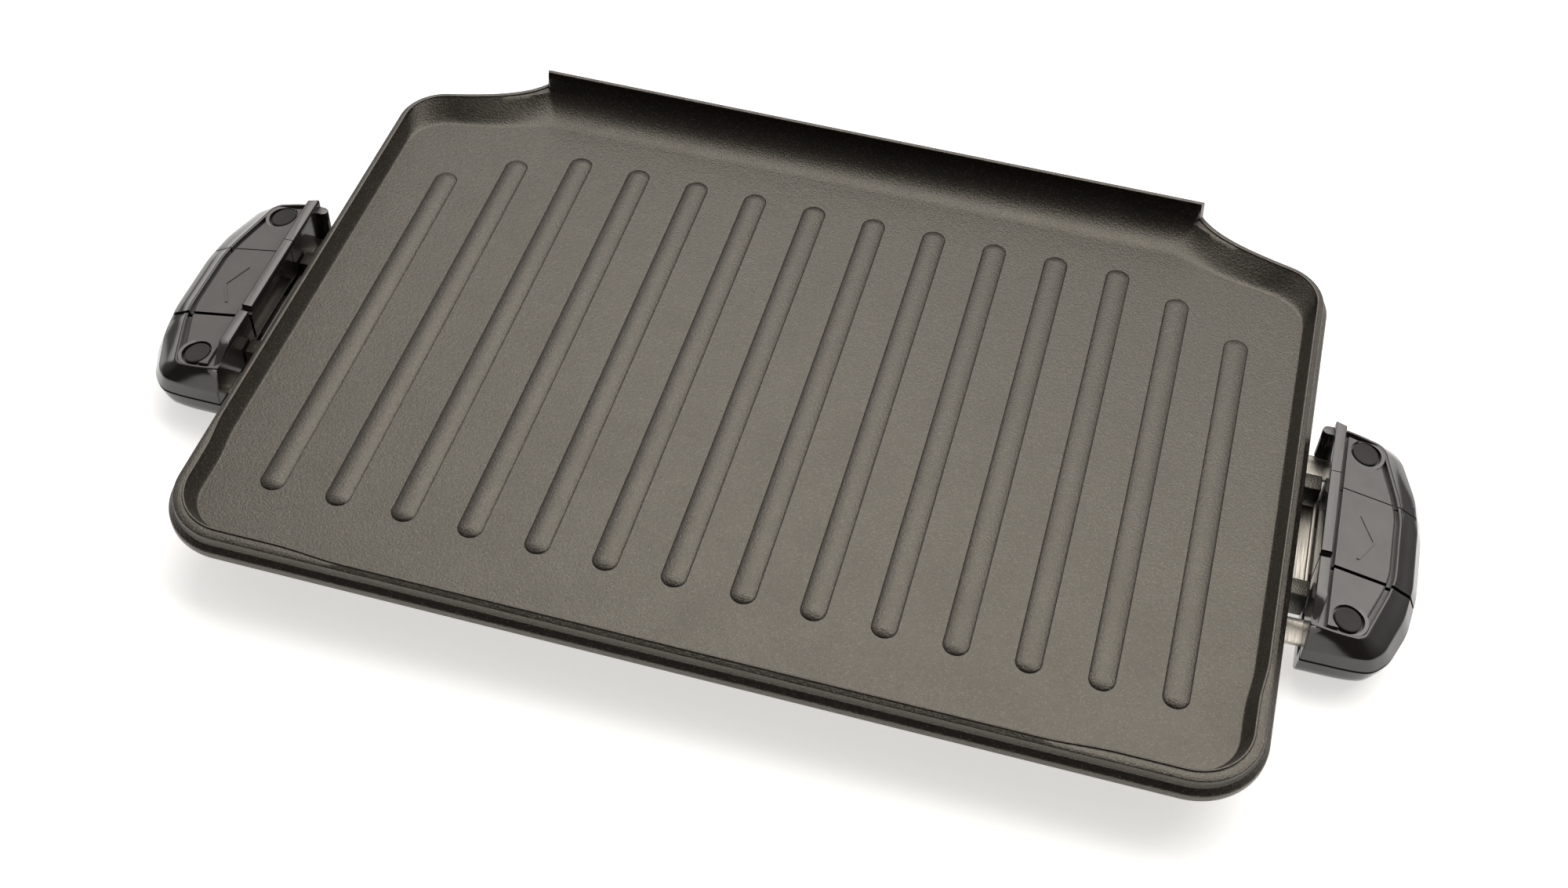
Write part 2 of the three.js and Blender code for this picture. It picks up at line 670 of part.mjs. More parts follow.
function makeGripBase() {
  const top = seamHeight - gap / 2;
  const bottom = gripBottomHeight;
  const form = (inset, bottomHeight, topHeight) =>
    loft([
      gripRing(gripWidth - 6, gripHalfLength - 5, 2.2, inset, () => bottomHeight),
      gripRing(gripWidth - 1.6, gripHalfLength - 1.2, 2.2, inset, () => bottomHeight + 4.5),
      gripRing(gripWidth, gripHalfLength, 2.2, inset, () => topHeight),
    ]);
  const hollow = form(gripWall, bottom + gripWall, top + 1);
  const mouth = block(
    [gripInner - 1, gripOffsetY - gripHalfLength + 5, bottom + 6.5],
    [gripInner + gripWall + 1, gripOffsetY + gripHalfLength - 5, top + 1],
  );
  let base = cut(form(0, bottom, top), hollow, mouth);
  for (const end of [-1, 1]) {
    const y = gripOffsetY + end * screwSpread;
    base = base.add(post(screwX, y, bottom + 1, strapTop - strapThickness - gap, 5.2));
    base = base.subtract(post(screwX, y, screwFootHeight - gap, floorHeight, screwRadius + gap));
    const footY = gripOffsetY + end * footSpread;
    base = base.subtract(post(footX, footY, 0, footSeat, footRadius + gap));
  }
  const stopX = gripInner + springStopReach;
  const stopHalf = springRadius + 5;
  const stopTop = latchTop - latchThickness - gap;
  const stopRear = [stopX + springStopThickness, gripOffsetY + stopHalf, stopTop];
  return base.add(block([stopX, gripOffsetY - stopHalf, bottom + 1], stopRear));
}

// Coil spring along X, from the latch plate's tab to the stop in the lower shell.
function makeSpring() {
  const start = gripInner + latchTailReach + gap + springWire / 2;
  const end = gripInner + springStopReach - gap - springWire / 2;
  const height = latchTop - latchTabDrop + springRadius + springWire / 2 + 0.4;
  class Coil extends THREE.Curve {
    getPoint(t) {
      const angle = t * springTurns * Math.PI * 2;
      const x = THREE.MathUtils.lerp(start, end, t);
      const y = gripOffsetY + springRadius * Math.cos(angle);
      return new THREE.Vector3(x, y, height + springRadius * Math.sin(angle));
    }
  }
  const wire = new THREE.Shape().absarc(0, 0, springWire / 2, 0, Math.PI * 2);
  const steps = springTurns * 8;
  return new THREE.ExtrudeGeometry(wire, { extrudePath: new Coil(), steps, curveSegments: 3 });
}

for (const [side, mirror] of [
  ["left", -1],
  ["right", 1],
]) {
  const grip = new THREE.Group();
  grip.scale.x = mirror;
  griddle.add(grip);
  add(`grip_top_${side}`, makeGripTop(), blackPlastic(), grip);
  add(`grip_base_${side}`, makeGripBase(), blackPlastic(), grip);
  add(`release_slide_${side}`, makeReleaseSlide(), blackPlastic(), grip);
  add(`latch_plate_${side}`, makeLatchPlate(), stainless(), grip);
  const latchScrewX = gripInner + slideLegReach;
  const latchScrewFace = latchTop - latchThickness - gap;
  const latchScrew = makeScrew(
    latchScrewX, gripOffsetY, latchScrewFace, floorHeight - 4, latchScrewRadius, latchScrewHeadRadius, 1.4,
  );
  add(`latch_screw_${side}`, latchScrew, zincSteel(), grip);
  add(`slide_spring_${side}`, makeSpring(), zincSteel(), grip);
  for (const [place, end] of [
    ["front", -1],
    ["rear", 1],
  ]) {
    const y = gripOffsetY + end * screwSpread;
    const face = floorHeight - screwHeadDrop - screwHeadHeight;
    const screw = makeScrew(screwX, y, face, screwFootHeight, screwRadius, screwHeadRadius, screwHeadHeight);
    add(`grip_screw_${place}_${side}`, screw, zincSteel(), grip);
    add(`screw_cap_${place}_${side}`, capSeat(y, capRadius, capHeight, capHeight), darkRubber(), grip);
    const footY = gripOffsetY + end * footSpread;
    const foot = post(footX, footY, 0, footSeat - gap, footRadius - 0.8, footRadius);
    add(`foot_${place}_${side}`, foot, darkRubber(), grip);
  }
}

// ---- Reflector pan -------------------------------------------------------------------------
const panTop = panBottom + panWall;
const outerRunMiddle = (elementFront + elementRear) / 2;
const innerSupportY = strapY.front + strapWidth / 2 + postHeadRadius + supportStrapGap;

const supportPlaces = {
  left: [-elementHalfLength, outerRunMiddle],
  right: [elementHalfLength, outerRunMiddle],
  inner_left: [-elementInnerHalf, innerSupportY],
  inner_right: [elementInnerHalf, innerSupportY],
};

// Clearance bores along Y for the inlet's pins, its screws and the probe's sleeve.
function inletBores(front, rear) {
  const bore = (x, radius) => rod(x, inletHeight, front, rear, radius + gap);
  return [
    bore(0, probeRadius),
    ...[-pinX, pinX].map((x) => bore(x, pinRadius)),
    ...[-inletScrewX, inletScrewX].map((x) => bore(x, screwRadius)),
  ];
}

function makePan() {
  const outline = (inset) =>
    roundedRectangle(panLength / 2 - inset, panDepth / 2 - inset, panCornerRadius - inset, panY);
  let pan = cut(raised(outline(0), panBottom, panTop), raised(outline(panSheet), panFloor, panTop + 1));
  pan = cut(pan, ...inletBores(panRear - 5, panRear + 5));
  for (const [x, y] of Object.values(supportPlaces)) {
    pan = pan.subtract(post(x, y, 0, floorHeight, screwRadius + gap));
  }
  for (const y of Object.values(strapY)) {
    for (const side of [-1, 1]) {
      const x = side * panScrewX;
      const boss = post(x, y, panBottom + 0.2, panFloor + 3, 4.2, 3.6);
      pan = pan.add(boss).subtract(post(x, y, 0, floorHeight, screwRadius + gap));
    }
  }
  return pan;
}

add("reflector_pan", makePan(), aluminised());

for (const [place, y] of Object.entries(strapY)) {
  for (const [side, mirror] of [
    ["left", -1],
    ["right", 1],
  ]) {
    const face = strapLowTop - strapThickness - gap;
    const screw = makeScrew(mirror * panScrewX, y, face, panFloor + 2.5, screwRadius, postHeadRadius, 1.6);
    add(`pan_screw_${place}_${side}`, screw, zincSteel());
  }
}

// ---- Heating element -----------------------------------------------------------------------
// A path through corner points, with each corner rounded.
function roundedPath(corners, radius) {
  const path = new THREE.CurvePath();
  let start = corners[0];
  for (let place = 1; place + 1 < corners.length; place += 1) {
    const corner = corners[place];
    const reach = (other) => Math.min(radius, corner.distanceTo(other) * 0.45);
    const towards = (other) => corner.clone().lerp(other, reach(other) / corner.distanceTo(other));
    const before = towards(corners[place - 1]);
    const after = towards(corners[place + 1]);
    path.add(new THREE.LineCurve3(start, before));
    path.add(new THREE.QuadraticBezierCurve3(before, corner, after));
    start = after;
  }
  path.add(new THREE.LineCurve3(start, corners.at(-1)));
  return path;
}

// The same path as one curve through few points, so that its steps fall on the bends.
function bendPoints(path, bendSteps) {
  const points = [];
  path.curves.forEach((curve) => {
    const steps = curve.type === "LineCurve3" ? 1 : bendSteps;
    points.push(...curve.getPoints(steps).slice(0, -1));
  });
  points.push(path.curves.at(-1).getPoint(1));
  return points;
}

const elementTail = panRear - panSheet - gap - inletBlockDepth - gap;

function elementCorners() {
  const at = (x, y, z = elementHeight) => new THREE.Vector3(x, y, z);
  const right = [
    at(pinX, elementTail, inletHeight),
    at(pinX, elementTail - 10, inletHeight + 0.4),
    at(pinX, elementTail - 22, elementHeight),
    at(pinX, elementRear),
    at(elementHalfLength, elementRear),
    at(elementHalfLength, elementFront),
    at(elementInnerHalf, elementFront),
    at(elementInnerHalf, elementMiddle),
  ];
  const left = right.map((point) => new THREE.Vector3(-point.x, point.y, point.z)).reverse();
  return [...right, ...left];
}

// A tube whose sections sit square on each bend point.
function tubeAlong(points, radius, sides) {
  const rings = points.map((point, place) => {
    const before = points[Math.max(place - 1, 0)];
    const after = points[Math.min(place + 1, points.length - 1)];
    const along = after.clone().sub(before).normalize();
    const across = new THREE.Vector3(-along.y, along.x, 0).normalize();
    const upward = across.clone().cross(along).negate();
    const ring = [];
    for (let side = 0; side < sides; side += 1) {
      const angle = (side / sides) * Math.PI * 2;
      const offset = across.clone().multiplyScalar(Math.cos(angle) * radius);
      ring.push(point.clone().add(offset).addScaledVector(upward, Math.sin(angle) * radius));
    }
    return ring;
  });
  return rings;
}

// A tube as a closed solid: its rings are joined, and each end is closed by a fan.
function tubeSolid(points, radius, sides = 8) {
  const rings = tubeAlong(points, radius, sides);
  const positions = rings.flat().flatMap((point) => [point.x, point.y, point.z]);
  const index = [];
  for (let level = 0; level + 1 < rings.length; level += 1) {
    for (let side = 0; side < sides; side += 1) {
      const next = (side + 1) % sides;
      const a = level * sides + side;
      const b = level * sides + next;
      index.push(a, b, a + sides, b, b + sides, a + sides);
    }
  }
  const last = (rings.length - 1) * sides;
  for (let side = 1; side + 1 < sides; side += 1) {
    index.push(0, side + 1, side);
    index.push(last, last + side, last + side + 1);
  }
  const geometry = new THREE.BufferGeometry();
  geometry.setAttribute("position", new THREE.Float32BufferAttribute(positions, 3));
  geometry.setIndex(index);
  return solid(geometry);
}

const elementPath = roundedPath(elementCorners(), elementBend);
add("heating_element", tubeSolid(bendPoints(elementPath, 4), elementRadius), darkSheath());

// A stand on the pan's floor that cradles the element's lower half.
function makeSupport(x, y) {
  const half = supportSize / 2;
  const stand = block([x - half, y - half, panFloor + gap], [x + half, y + half, elementHeight]);
  const cradle = rod(x, elementHeight, y - supportSize, y + supportSize, elementRadius + gap);
  const hole = post(x, y, 0, elementHeight - elementRadius - 0.6, screwRadius + gap);
  return cut(stand, cradle, hole);
}

for (const [place, [x, y]] of Object.entries(supportPlaces)) {
  add(`element_support_${place}`, makeSupport(x, y), stainless());
  const tip = elementHeight - elementRadius - 1.1;
  const screw = makeScrew(x, y, panBottom - gap, tip, screwRadius, postHeadRadius, 1.6);
  add(`support_screw_${place}`, screw, zincSteel());
}

// ---- Inlet ---------------------------------------------------------------------------------
const blockRear = panRear - panSheet - gap;
const blockFront = blockRear - inletBlockDepth;
const shroudFront = panRear + gap;
const shroudRear = shroudFront + inletDepth;

function makeShroud() {
  const bottom = inletHeight - inletDrop;
  const top = plateUnderside - inletTopGap;
  const flangeRear = shroudFront + inletFlange;
  const flange = block([-flangeHalfWidth, shroudFront, bottom], [flangeHalfWidth, flangeRear, top]);
  const body = block([-inletHalfWidth, shroudFront, bottom], [inletHalfWidth, shroudRear, top]);
  const mouth = block(
    [inletWall - inletHalfWidth, flangeRear, bottom + inletWall],
    [inletHalfWidth - inletWall, shroudRear + 1, top - inletWall],
  );
  return cut(flange.add(body), mouth, ...inletBores(shroudFront - 5, flangeRear + 1));
}

function makeInletBlock() {
  const half = flangeHalfWidth + 1;
  const body = block([-half, blockFront, panFloor + gap], [half, blockRear, panTop]);
  return cut(body, ...inletBores(blockFront - 5, panRear));
}

add("inlet_shroud", makeShroud(), phenolic());
add("inlet_block", makeInletBlock(), ceramicWhite());

const pinFront = elementTail + gap;
const pinRear = shroudRear - 6;
for (const [side, mirror] of [
  ["left", -1],
  ["right", 1],
]) {
  const x = mirror * pinX;
  const tip = new THREE.CylinderGeometry(pinRadius * 0.6, pinRadius, 2, 16);
  const taper = solid(tip.translate(x, pinRear - 1, inletHeight));
  const pin = rod(x, inletHeight, pinFront, pinRear - 2 + 0.01, pinRadius);
  add(`inlet_pin_${side}`, pin.add(taper), nickelBrass());
  const screwX0 = mirror * inletScrewX;
  const shankRear = shroudFront + inletFlange + gap;
  const shank = rod(screwX0, inletHeight, blockFront + 2, shankRear + 0.2, screwRadius, 14);
  const head = new THREE.CylinderGeometry(postHeadRadius * 0.72, postHeadRadius, 1.6, 20);
  const headSolid = solid(head.translate(screwX0, shankRear + 0.8, inletHeight));
  add(`inlet_screw_${side}`, shank.add(headSolid), zincSteel());
}

// Sleeve that takes the thermostat's probe: open at the rear, closed at the front.
const sleeveRear = shroudFront + inletFlange + 4;
const sleeveProfile = [
  [0, sleeveRear - probeLength],
  [probeRadius, sleeveRear - probeLength],
  [probeRadius, sleeveRear],
  [probeRadius - probeWall, sleeveRear],
  [probeRadius - probeWall, sleeveRear - probeLength + 2],
  [0, sleeveRear - probeLength + 2],
].map(([radius, along]) => new THREE.Vector2(radius, along));
const sleeve = new THREE.LatheGeometry(sleeveProfile, 18).translate(0, 0, inletHeight);
add("probe_sleeve", sleeve, stainless());

export default griddle;
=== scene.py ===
import bpy
import bmesh
import json
import math
from mathutils import Matrix, Vector
from mathutils.geometry import delaunay_2d_cdt

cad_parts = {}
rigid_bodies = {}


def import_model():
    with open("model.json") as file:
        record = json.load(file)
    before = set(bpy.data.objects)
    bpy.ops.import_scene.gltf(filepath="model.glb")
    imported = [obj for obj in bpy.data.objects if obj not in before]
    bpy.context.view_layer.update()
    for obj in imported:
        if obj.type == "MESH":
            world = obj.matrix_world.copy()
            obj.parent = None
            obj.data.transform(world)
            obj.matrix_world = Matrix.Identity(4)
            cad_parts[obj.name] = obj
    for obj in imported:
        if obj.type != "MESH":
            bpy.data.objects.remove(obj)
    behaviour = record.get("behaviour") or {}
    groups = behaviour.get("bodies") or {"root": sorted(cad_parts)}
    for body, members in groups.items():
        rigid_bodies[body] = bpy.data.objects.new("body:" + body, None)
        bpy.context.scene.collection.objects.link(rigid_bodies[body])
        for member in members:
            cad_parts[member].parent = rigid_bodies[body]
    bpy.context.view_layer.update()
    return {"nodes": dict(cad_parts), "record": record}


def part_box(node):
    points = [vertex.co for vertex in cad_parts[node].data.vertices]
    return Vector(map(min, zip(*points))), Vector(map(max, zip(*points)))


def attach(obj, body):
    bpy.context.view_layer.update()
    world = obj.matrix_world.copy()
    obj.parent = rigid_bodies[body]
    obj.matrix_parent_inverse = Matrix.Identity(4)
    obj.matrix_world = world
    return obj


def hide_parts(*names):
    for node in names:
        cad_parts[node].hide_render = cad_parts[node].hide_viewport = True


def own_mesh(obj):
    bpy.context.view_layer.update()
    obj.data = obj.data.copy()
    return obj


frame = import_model()
nodes = frame["nodes"]
mounts = {mount["name"]: mount for mount in frame["record"]["mounts"]}
print("frame loaded:", len(nodes), "CAD nodes")

mm = 0.001
bothEnds = (-1, 1)
sideSign = {"left": -1, "right": 1}
endSign = {"front": -1, "rear": 1}

# places that the CAD gives, in metres
floorZ = mounts["cooking_surface"]["pos_m"][2]
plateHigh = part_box("griddle_plate")[1]
baseLow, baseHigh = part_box("grip_base_right")
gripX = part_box("release_slide_right")[0].x  # inner side of the right grip
gripY = (baseLow.y + baseHigh.y) / 2
bottomZ = baseLow.z


def newObject(name, mesh):
    obj = bpy.data.objects.new(name, mesh)
    bpy.context.scene.collection.objects.link(obj)
    return obj


# a mesh changed in place by a step on its bmesh form
def edited(mesh, change):
    bm = bmesh.new()
    bm.from_mesh(mesh)
    change(bm)
    bm.to_mesh(mesh)
    bm.free()
    return mesh


def tidyMesh(mesh, merge=1e-6):
    def change(bm):
        bmesh.ops.remove_doubles(bm, verts=bm.verts, dist=merge)
        bmesh.ops.recalc_face_normals(bm, faces=bm.faces)

    return edited(mesh, change)


def meshFrom(name, verts, faces):
    mesh = bpy.data.meshes.new(name)
    mesh.from_pydata([Vector(v) for v in verts], [], faces)
    mesh.update()
    return mesh


# skin through rings of the same length, with a cap at each end
def ringLoft(name, rings, caps=(True, True)):
    count = len(rings[0])
    verts = [point for ring in rings for point in ring]
    faces = []
    for level in range(len(rings) - 1):
        for i in range(count):
            a = level * count + i
            b = level * count + (i + 1) % count
            faces.append((a, b, b + count, a + count))
    if caps[0]:
        faces.append(tuple(reversed(range(count))))
    if caps[1]:
        faces.append(tuple(range((len(rings) - 1) * count, len(rings) * count)))
    return tidyMesh(meshFrom(name, verts, faces))


def boxMesh(name, low, high):
    bm = bmesh.new()
    bmesh.ops.create_cube(bm, size=1)
    bmesh.ops.scale(bm, vec=[high[k] - low[k] for k in range(3)], verts=bm.verts)
    bmesh.ops.translate(bm, vec=[(high[k] + low[k]) / 2 for k in range(3)], verts=bm.verts)
    mesh = bpy.data.meshes.new(name)
    bm.to_mesh(mesh)
    bm.free()
    return mesh


# profile (radius, height) turned round the Z axis
def latheMesh(profile, sides):
    turns = [2 * math.pi * k / sides for k in range(sides)]
    rings = []
    for radius, height in profile:
        rings.append([(radius * math.cos(a), radius * math.sin(a), height) for a in turns])
    return ringLoft("turned", rings)


def turnedMesh(profile, sides=48):
    return latheMesh([(radius * mm, height * mm) for radius, height in profile], sides)


def moved(mesh, matrix):
    mesh.transform(matrix)
    if matrix.determinant() < 0:
        mesh.flip_normals()
    return mesh


# the mesh of an object that is no longer needed
def freed(obj):
    mesh = obj.data
    bpy.data.objects.remove(obj)
    return mesh


# the object's mesh with its modifiers worked in
def applied(obj):
    depsgraph = bpy.context.evaluated_depsgraph_get()
    mesh = bpy.data.meshes.new_from_object(obj.evaluated_get(depsgraph))
    old = obj.data
    obj.modifiers.clear()
    obj.data = mesh
    bpy.data.meshes.remove(old)
    return obj


# every face goes in as triangles, so that no cut leaves a face with a hole in it
def inTriangles(mesh):
    return edited(mesh, lambda bm: bmesh.ops.triangulate(bm, faces=bm.faces))


def combine(obj, mesh, how):
    inTriangles(obj.data)
    tool = newObject("tool", inTriangles(mesh))
    step = obj.modifiers.new("combine", "BOOLEAN")
    step.operation = how
    step.solver = "MANIFOLD"
    step.object = tool
    applied(obj)
    bpy.data.objects.remove(tool)
    bpy.data.meshes.remove(mesh)
    return obj


def cutAway(obj, *meshes):
    for mesh in meshes:
        combine(obj, mesh, "DIFFERENCE")
    return obj


def addOn(obj, *meshes):
    for mesh in meshes:
        combine(obj, mesh, "UNION")
    return obj


def softEdges(obj, width, segments=2, degrees=40):
    step = obj.modifiers.new("edge", "BEVEL")
    step.width = width
    step.segments = segments
    step.limit_method = "ANGLE"
    step.angle_limit = math.radians(degrees)
    return applied(obj)


def smoothByAngle(obj, degrees=35):
    def change(bm):
        for face in bm.faces:
            face.smooth = True
        for edge in bm.edges:
            edge.smooth = edge.is_manifold and edge.calc_face_angle(0) < math.radians(degrees)

    edited(obj.data, change)


# faces of one flat plane shade as truly flat; its normal is given by its X and Z parts
def flatPlane(obj, x, z, test=lambda face: True):
    for face in obj.data.polygons:
        if abs(face.normal.z - z) < 1e-4 and abs(abs(face.normal.x) - x) < 2e-3 and test(face):
            face.use_smooth = False


def joinMeshes(name, meshes):
    bm = bmesh.new()
    for mesh in meshes:
        bm.from_mesh(mesh)
    joined = bpy.data.meshes.new(name)
    bm.to_mesh(joined)
    bm.free()
    return joined


def mirrorMesh(mesh, name):
    copy = mesh.copy()
    copy.name = name
    return moved(copy, Matrix.Scale(-1, 4, (1, 0, 0)))


def lerp(a, b, t):
    return a + (b - a) * t


def smoothStep(t):
    t = min(max(t, 0), 1)
    return t * t * (3 - 2 * t)


# a finished piece: the body it rides on, its slot and material, and the CAD nodes it stands for
def finishPiece(obj, body, slot, replaced):
    obj.data.materials.clear()
    obj.data.materials.append(finishes[slot])
    for face in obj.data.polygons:
        face.material_index = 0
    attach(obj, body)
    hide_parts(*replaced)
    return obj


# an empty node group: its tree, the sockets that bring values in, and those that take results out;
# an input's default is a number, three numbers, or else the kind of socket
def nodeGroup(name, treeKind, inputs, outputs, outputKind="NodeSocketFloat"):
    kinds = {int: "NodeSocketInt", float: "NodeSocketFloat", tuple: "NodeSocketVector"}
    group = bpy.data.node_groups.new(name, treeKind)
    for socketName, value in inputs.items():
        kind = kinds.get(type(value), value)
        socket = group.interface.new_socket(name=socketName, in_out="INPUT", socket_type=kind)
        if kind != value:
            socket.default_value = value
    for socketName in outputs:
        group.interface.new_socket(name=socketName, in_out="OUTPUT", socket_type=outputKind)
    return group, group.nodes.new("NodeGroupInput").outputs, group.nodes.new("NodeGroupOutput").inputs


def shaderGroup(name, inputs, outputs=("Mask",)):
    return nodeGroup(name, "ShaderNodeTree", {"Vector": (0, 0, 0), **inputs}, outputs)


def link(tree, a, b):
    tree.links.new(a, b)


# a new node; each input gets a plain value or a socket to link from
def newNode(tree, kind, inputs=None, **settings):
    node = tree.nodes.new(kind)
    for key, value in settings.items():
        setattr(node, key, value)
    for key, value in (inputs or {}).items():
        if isinstance(value, bpy.types.NodeSocket):
            link(tree, value, node.inputs[key])
        else:
            node.inputs[key].default_value = value
    return node


def mathNode(tree, operation, *values, clamp=False):
    inputs = dict(enumerate(values))
    return newNode(tree, "ShaderNodeMath", inputs, operation=operation, use_clamp=clamp).outputs[0]


def noiseNode(tree, vector, scale, detail=2.0, roughness=0.5):
    inputs = {"Vector": vector, "Scale": scale, "Detail": detail, "Roughness": roughness}
    return newNode(tree, "ShaderNodeTexNoise", inputs).outputs["Fac"]


# value between low and high, turned into 0..1
def rangeNode(tree, value, low, high, toLow=0.0, toHigh=1.0):
    inputs = {"Value": value, "From Min": low, "From Max": high, "To Min": toLow, "To Max": toHigh}
    return newNode(tree, "ShaderNodeMapRange", inputs).outputs["Result"]


def splitNode(tree, vector):
    return newNode(tree, "ShaderNodeSeparateXYZ", {0: vector}).outputs


# how far a face looks up, from -1 to 1
def upwardNode(tree):
    return splitNode(tree, newNode(tree, "ShaderNodeNewGeometry").outputs["Normal"])["Z"]


# fine cast or moulded grain: a height for the bump and a value for colour
def makeGrainGroup():
    group, start, end = shaderGroup("surfaceGrain", {"Scale": 900.0, "Unevenness": 0.5}, ("Height", "Tone"))
    fine = noiseNode(group, start["Vector"], start["Scale"], 3.0, 0.6)
    coarse = noiseNode(group, start["Vector"], mathNode(group, "MULTIPLY", start["Scale"], 0.045), 3.0, 0.55)
    wide = mathNode(group, "MULTIPLY", rangeNode(group, coarse, 0.3, 0.7), start["Unevenness"])
    link(group, fine, end["Height"])
    link(group, mathNode(group, "ADD", mathNode(group, "MULTIPLY", fine, 0.5), wide), end["Tone"])
    return group


# small light flecks, as in a speckled non-stick coat
def makeFleckGroup():
    group, start, end = shaderGroup("coatFlecks", {"Scale": 1100.0, "Share": 0.1})
    cells = newNode(group, "ShaderNodeTexVoronoi", {"Vector": start["Vector"], "Scale": start["Scale"]})
    chance = newNode(group, "ShaderNodeSeparateColor", {0: cells.outputs["Color"]}).outputs[0]
    chosen = mathNode(group, "LESS_THAN", chance, start["Share"])
    core = rangeNode(group, cells.outputs["Distance"], 0.45, 0.15)
    link(group, mathNode(group, "MULTIPLY", chosen, core, clamp=True), end["Mask"])
    return group


# rubbed edges, broken up by noise
def makeWearGroup():
    group, start, end = shaderGroup("edgeWear", {"Amount": 0.3})
    sharpness = newNode(group, "ShaderNodeNewGeometry").outputs["Pointiness"]
    breakUp = rangeNode(group, noiseNode(group, start["Vector"], 160.0, 4.0, 0.6), 0.35, 0.65)
    worn = mathNode(group, "MULTIPLY", rangeNode(group, sharpness, 0.505, 0.56), breakUp, clamp=True)
    link(group, mathNode(group, "MULTIPLY", worn, start["Amount"], clamp=True), end["Mask"])
    return group


# fine lines along one axis, as rolling or brushing leaves on sheet metal
def makeBrushGroup():
    group, start, end = shaderGroup("brushedLines", {"Stretch": (40, 2600, 2600)}, ("Height",))
    stretched = newNode(group, "ShaderNodeVectorMath", {0: start["Vector"], 1: start["Stretch"]},
                        operation="MULTIPLY")
    link(group, noiseNode(group, stretched.outputs[0], 1.0), end["Height"])
    return group


# faint settled dust on faces that look up
def makeDustGroup():
    group, start, end = shaderGroup("settledDust", {"Amount": 0.1})
    upward = rangeNode(group, upwardNode(group), 0.6, 1.0)
    patch = rangeNode(group, noiseNode(group, start["Vector"], 55.0, 5.0, 0.65), 0.4, 0.75)
    settled = mathNode(group, "MULTIPLY", upward, patch, clamp=True)
    link(group, mathNode(group, "MULTIPLY", settled, start["Amount"], clamp=True), end["Mask"])
    return group


grainGroup = makeGrainGroup()
fleckGroup = makeFleckGroup()
wearGroup = makeWearGroup()
brushGroup = makeBrushGroup()
dustGroup = makeDustGroup()


# a material with its own Principled shader, and short ways to connect to it
class Finish:
    def __init__(self, name, roughness, metallic=0.0, specular=0.5):
        self.material = bpy.data.materials.new(name)
        self.material.use_nodes = True
        self.tree = self.material.node_tree
        self.shader = self.tree.nodes["Principled BSDF"]
        self.shader.inputs["Roughness"].default_value = roughness
        self.shader.inputs["Metallic"].default_value = metallic
        self.shader.inputs["Specular IOR Level"].default_value = specular
        self.place = self.tree.nodes.new("ShaderNodeTexCoord").outputs["Object"]

    def effect(self, group, **values):
        inputs = {"Vector": self.place, **values}
        return newNode(self.tree, "ShaderNodeGroup", inputs, node_tree=group).outputs

    def mix(self, factor, first, second):
        node = newNode(self.tree, "ShaderNodeMix", {"Factor": factor}, data_type="RGBA")
        for key, value in (("A", first), ("B", second)):
            socket = [s for s in node.inputs if s.name == key and s.type == "RGBA"][0]
            if isinstance(value, tuple):
                socket.default_value = (*value, 1)
            else:
                link(self.tree, value, socket)
        return [s for s in node.outputs if s.type == "RGBA"][0]

    def paint(self, color):
        link(self.tree, color, self.shader.inputs["Base Color"])

    def rough(self, value, low, high, toLow, toHigh):
        scaled = rangeNode(self.tree, value, low, high, toLow, toHigh)
        link(self.tree, scaled, self.shader.inputs["Roughness"])

    def bump(self, height, strength, distance):
        inputs = {"Height": height, "Strength": strength, "Distance": distance}
        node = newNode(self.tree, "ShaderNodeBump", inputs)
        link(self.tree, node.outputs["Normal"], self.shader.inputs["Normal"])


def makeCoat():
    coat = Finish("speckledNonStick", 0.42, specular=0.95)
    coat.shader.inputs["Specular Tint"].default_value = (1, 0.92, 0.78, 1)
    grain = coat.effect(grainGroup, Scale=1300.0, Unevenness=0.35)
    flecks = coat.effect(fleckGroup, Scale=1500.0, Share=0.32)
    wear = coat.effect(wearGroup, Amount=0.25)
    base = coat.mix(grain["Tone"], (0.0075, 0.0058, 0.0048), (0.017, 0.0138, 0.0116))
    speckled = coat.mix(flecks["Mask"], base, (0.11, 0.092, 0.076))
    coat.paint(coat.mix(wear["Mask"], speckled, (0.14, 0.13, 0.12)))
    coat.rough(grain["Tone"], 0.2, 0.9, 0.3, 0.43)
    coat.bump(grain["Height"], 0.55, 0.0004)
    return coat.material


# moulded grain on the faces that look up, polish on the rest; the faces that look up are also painted much
# lighter than the black plastic, as painted top light
def makePlastic():
    plastic = Finish("satinBlackPlastic", 0.3, specular=0.72)
    tree = plastic.tree
    grain = plastic.effect(grainGroup, Scale=2600.0, Unevenness=0.6)
    dust = plastic.effect(dustGroup, Amount=0.05)
    polished = plastic.mix(grain["Tone"], (0.011, 0.009, 0.0088), (0.019, 0.0155, 0.015))
    # painted top light: a light grey for the faces that look up, far lighter than the plastic's own
    # near-black
    mouldedLitTopColor = plastic.mix(grain["Tone"], (0.098, 0.087, 0.083), (0.13, 0.116, 0.111))
    # mask of the faces that look up: their moulded texture sets the roughness, and their painted top light
    # sets the colour
    texturedLitTop = rangeNode(tree, upwardNode(tree), 0.955, 0.975)
    base = plastic.mix(texturedLitTop, polished, mouldedLitTopColor)
    plastic.paint(plastic.mix(dust["Mask"], base, (0.16, 0.145, 0.13)))
    level = rangeNode(tree, texturedLitTop, 0, 1, 0.13, 0.36)
    uneven = mathNode(tree, "MULTIPLY", rangeNode(tree, grain["Tone"], 0.1, 1.0, 0.85, 1.15), level)
    link(tree, uneven, plastic.shader.inputs["Roughness"])
    plastic.bump(grain["Height"], 0.08, 0.0001)
    return plastic.material


def shaded(color, share):
    return tuple(min(part * share, 0.9) for part in color)


